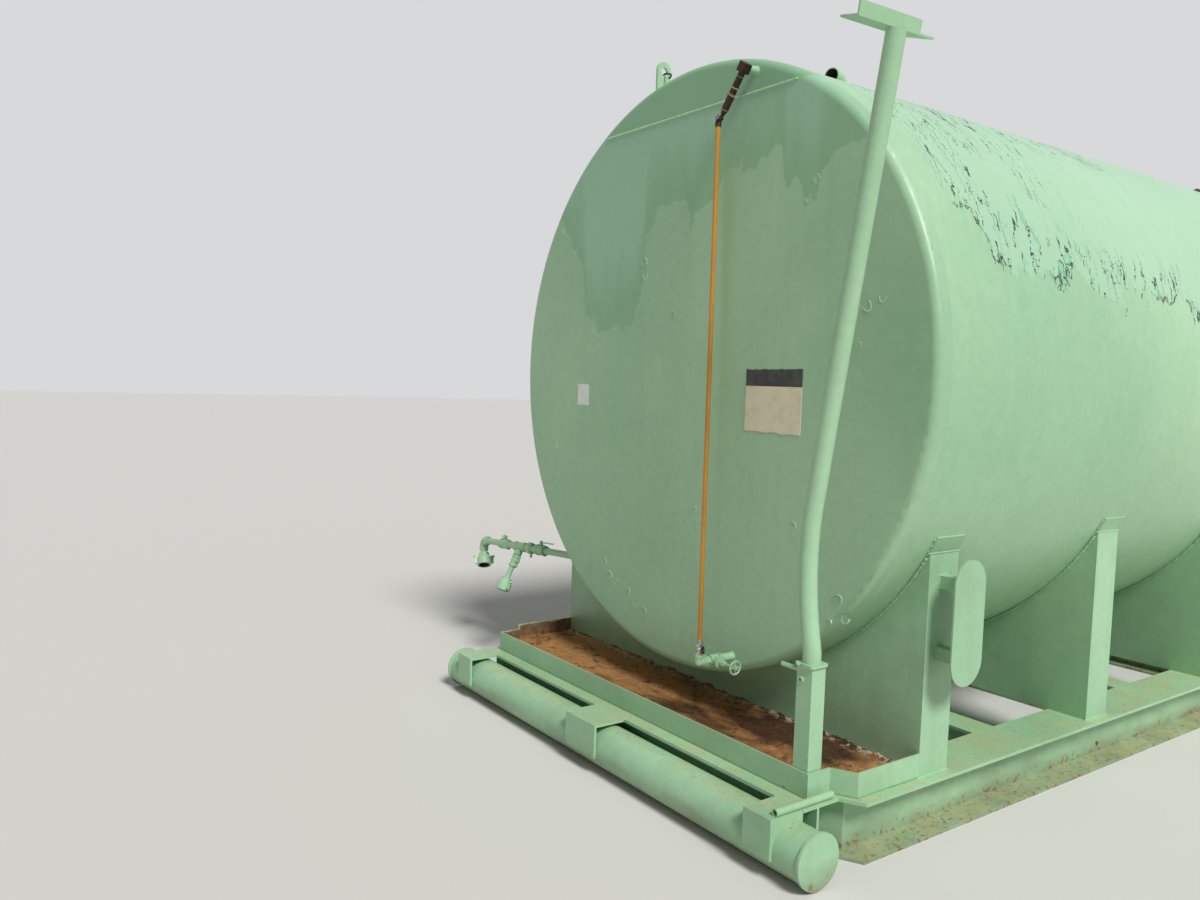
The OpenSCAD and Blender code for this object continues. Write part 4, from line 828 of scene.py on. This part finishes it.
def trayHalfWidth(y):
    # half of the room between the side rims, y being the distance from the tank's middle
    narrow, wide = rimHigh.x - rimWall, trayHigh.x - rimWall
    return wide - (wide - narrow) * min(1, max(0, (y - stepFrom) / (stepTo - stepFrom)))


def sedimentHeight(x, y, toWall):
    spot = Vector((x, y, 0.0))
    lumps = fractal.fractal(spot * 4.0, 0.9, 2.1, 6) * sediment["lumps"]
    plates = fractal.noise(spot * 21.0) + 0.5 * fractal.noise(spot * 47.0)
    crust = sediment["crust"] if plates > sediment["crustFrom"] else 0.0
    bank = sediment["bank"] * math.exp(-toWall / sediment["bankReach"])
    return trayTop + max(sediment["least"], sediment["layer"] + lumps + crust + bank)


def makeSediment():
    verts, faces = [], []
    near, far = abs(saddleFace) + sediment["gap"], rimHigh.y - endWall
    rows = int((far - near) / sediment["cell"])
    columns = int(2 * trayHigh.x / sediment["cell"])
    for end in (-1, 1):
        start = len(verts)
        for j in range(rows + 1):
            y = near + (far - near) * j / rows
            half = trayHalfWidth(y)
            for i in range(columns + 1):
                x = -half + 2 * half * i / columns
                toWall = min(half - abs(x), far - y, y - near)
                verts.append((x * end, y * end, sedimentHeight(x * end, y * end, toWall)))
        for j in range(rows):
            for i in range(columns):
                a = start + j * (columns + 1) + i
                faces.append((a, a + 1, a + columns + 2, a + columns + 1))
    mesh = bpy.data.meshes.new("tray_sediment")
    mesh.from_pydata(verts, [], faces)
    mesh.polygons.foreach_set("use_smooth", [True] * len(faces))
    obj = placed("tray_sediment", mesh, [sedimentCrust])
    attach(obj, "tank")
    return obj


def makeScatterTree():
    tree, given = newTree("looseStones", {"Density": "Float", "Size": "Float", "Seed": "Int",
                                          "Stone": "Material"})
    spots = add(tree, "GeometryNodeDistributePointsOnFaces",
                {"Mesh": given["Geometry"], "Density": given["Density"], "Seed": given["Seed"]})
    lump = add(tree, "GeometryNodeMeshIcoSphere", {"Radius": 1.0, "Subdivisions": 2})[0]
    rough = add(tree, "ShaderNodeTexNoise", {"Scale": 1.3, "Detail": 2.0})["Color"]
    push = add(tree, "vector", rough, (0.5, 0.5, 0.5))
    lump = add(tree, "GeometryNodeSetPosition", {"Geometry": lump, "Offset": push})[0]
    turn = add(tree, "FunctionNodeRandomValue", {0: (0, 0, 0), 1: (6.28, 6.28, 6.28), "Seed": given["Seed"]},
               data_type="FLOAT_VECTOR")[0]
    wide = add(tree, "FunctionNodeRandomValue", {2: sediment["smallest"], 3: sediment["largest"],
                                                 "Seed": given["Seed"]})[1]
    wide = add(tree, "math", wide, given["Size"])
    size = add(tree, "point", wide, wide, add(tree, "math", wide, sediment["flat"]))
    laid = add(tree, "lay", spots[0], lump, turn, size)
    endTree(tree, laid, given["Stone"])
    return tree


def makeStones(bed):
    grown("tray_stones", bed.data.copy(), makeScatterTree(), {
        "Density": float(sediment["stones"]), "Size": sediment["stoneSize"], "Seed": sediment["seed"],
        "Stone": sedimentCrust})


makeStones(makeSediment())
print("tray filled")


# Plates fixed on the front head: a sign's blank plate with a dark head band, and a white label
signs = {
    "sign": {"from": (0.378, 1.355), "to": (0.660, 1.588), "thick": 0.0018, "torn": 0.004, "band": 0.27},
    "label": {"from": (-0.757, 1.412), "to": (-0.666, 1.510), "thick": 0.0006, "torn": 0.0008, "band": 0.0},
}


def makeSign(name, plain, dark):
    made = signs[name]
    (x0, z0), (x1, z1) = made["from"], made["to"]
    steps = 40
    bm = bmesh.new()
    split = z1 - (z1 - z0) * made["band"]
    for low, high, slot in ((z0, split, 0), (split, z1, 1)):
        if high - low < 0.001:
            continue
        grid = []
        for i in range(steps + 1):
            x = x0 + (x1 - x0) * i / steps
            ragged = made["torn"] * fractal.fractal(Vector((x * 25, high * 9, 1.0)), 0.8, 2.0, 4)
            under = ragged if low == z0 else 0.0
            over = ragged if high == z1 else 0.0
            grid.append([bm.verts.new((x, headFace - depth, z)) for depth in (0.0, made["thick"])
                         for z in (low + under, high + over)])
        for a, b in zip(grid, grid[1:]):
            for face in ((a[2], b[2], b[3], a[3]), (a[3], b[3], b[1], a[1]), (a[0], b[0], b[2], a[2]),
                         (b[0], a[0], a[1], b[1])):
                bm.faces.new(face).material_index = slot
        for end, turned in ((grid[0], False), (grid[-1], True)):
            edge = [end[0], end[2], end[3], end[1]]
            bm.faces.new(edge[::-1] if turned else edge).material_index = slot
    bmesh.ops.recalc_face_normals(bm, faces=bm.faces)
    mesh = bpy.data.meshes.new("head_" + name)
    bm.to_mesh(mesh)
    bm.free()
    obj = placed("head_" + name, mesh, [plain, dark])
    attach(obj, "tank")


makeSign("sign", signPaint, bandPaint)
makeSign("label", labelPaint, labelPaint)


# Round wire: the clip that hangs in the front lug's eye
wires = {"lug_clip": {"radius": 0.004, "path": [(-0.455, -2.846, 2.906), (-0.425, -2.846, 2.912),
                                                (-0.405, -2.850, 2.904), (-0.380, -2.856, 2.896),
                                                (-0.372, -2.860, 2.884), (-0.385, -2.862, 2.878)]}}


def makeWireTree():
    tree, given = newTree("roundWire", {"Radius": "Float", "Metal": "Material"})
    path = add(tree, "path", given["Geometry"])
    path = add(tree, "GeometryNodeCurveSplineType", {"Curve": path}, spline_type="CATMULL_ROM")[0]
    path = add(tree, "GeometryNodeResampleCurve", {"Curve": path, "Count": 40})[0]
    edge = add(tree, "GeometryNodeCurvePrimitiveCircle", {"Resolution": 14, "Radius": given["Radius"]})[0]
    swept = add(tree, "sweep", path, edge)
    endTree(tree, swept, given["Metal"])
    return tree


def makeWire(name, metal):
    mesh = bpy.data.meshes.new(name)
    path = wires[name]["path"]
    mesh.from_pydata(path, [(i, i + 1) for i in range(len(path) - 1)], [])
    grown(name, mesh, makeWireTree(), {"Radius": wires[name]["radius"], "Metal": metal})


makeWire("lug_clip", ironDark)
print("head plates and clip made")

# Camera at the photograph's viewpoint
view = {"at": (3.015, -5.606, 1.522), "azimuth": 54.43, "down": 4.065, "roll": 1.78, "lens": 28.69}


def makeCamera():
    a, e, r = (math.radians(view[k]) for k in ("azimuth", "down", "roll"))
    ahead = Vector((-math.sin(a) * math.cos(e), math.cos(a) * math.cos(e), -math.sin(e)))
    right = Vector((math.cos(a), math.sin(a), 0))
    up = right.cross(ahead)
    side = right * math.cos(r) + up * math.sin(r)
    top = up * math.cos(r) - right * math.sin(r)
    data = bpy.data.cameras.new("camera")
    data.lens = view["lens"]
    data.sensor_fit = "HORIZONTAL"
    data.sensor_width = 36
    camera = placed("camera", data)
    turn = Matrix((side, top, -ahead)).transposed().to_4x4()
    camera.matrix_world = Matrix.Translation(view["at"]) @ turn
    scene.camera = camera


studio = {"floor": "#D9D7D2", "sky": 0.23, "backdrop": 0.86, "key": 3.0, "keySoft": 16,
          "keyFrom": (3.0, -0.5, 3.2)}


def makeStudio():
    mesh = bpy.data.meshes.new("floor")
    bm = bmesh.new()
    bmesh.ops.create_grid(bm, x_segments=1, y_segments=1, size=60)
    bm.to_mesh(mesh)
    bm.free()
    mat = newMaterial("matte studio floor")[0]
    finished(mat, {"Base Color": studio["floor"], "Roughness": 0.9})
    floor = placed("floor", mesh, [mat])
    world = bpy.data.worlds.new("studio")
    world.use_nodes = True
    scene.world = world
    tree = world.node_tree
    tree.nodes.clear()
    path = add(tree, "ShaderNodeLightPath")
    seen = add(tree, "math", path["Is Camera Ray"], path["Is Glossy Ray"], "MAXIMUM")
    seen = add(tree, "math", seen, path["Is Transmission Ray"], "MAXIMUM")
    light = add(tree, "ShaderNodeBackground", {"Color": (1, 1, 1, 1), "Strength": studio["sky"]})
    back = add(tree, "ShaderNodeBackground", {"Color": "#E6E8EA", "Strength": studio["backdrop"]})
    both = add(tree, "ShaderNodeMixShader", {0: seen, 1: light[0], 2: back[0]})
    add(tree, "ShaderNodeOutputWorld", {"Surface": both[0]})
    lamp = bpy.data.lights.new("key", "SUN")
    lamp.energy = studio["key"]
    lamp.angle = math.radians(studio["keySoft"])
    key = placed("key", lamp)
    key.rotation_euler = Vector(studio["keyFrom"]).to_track_quat("Z", "Y").to_euler()


makeCamera()
makeStudio()
scene.view_settings.view_transform = "Standard"
print("camera and light set")
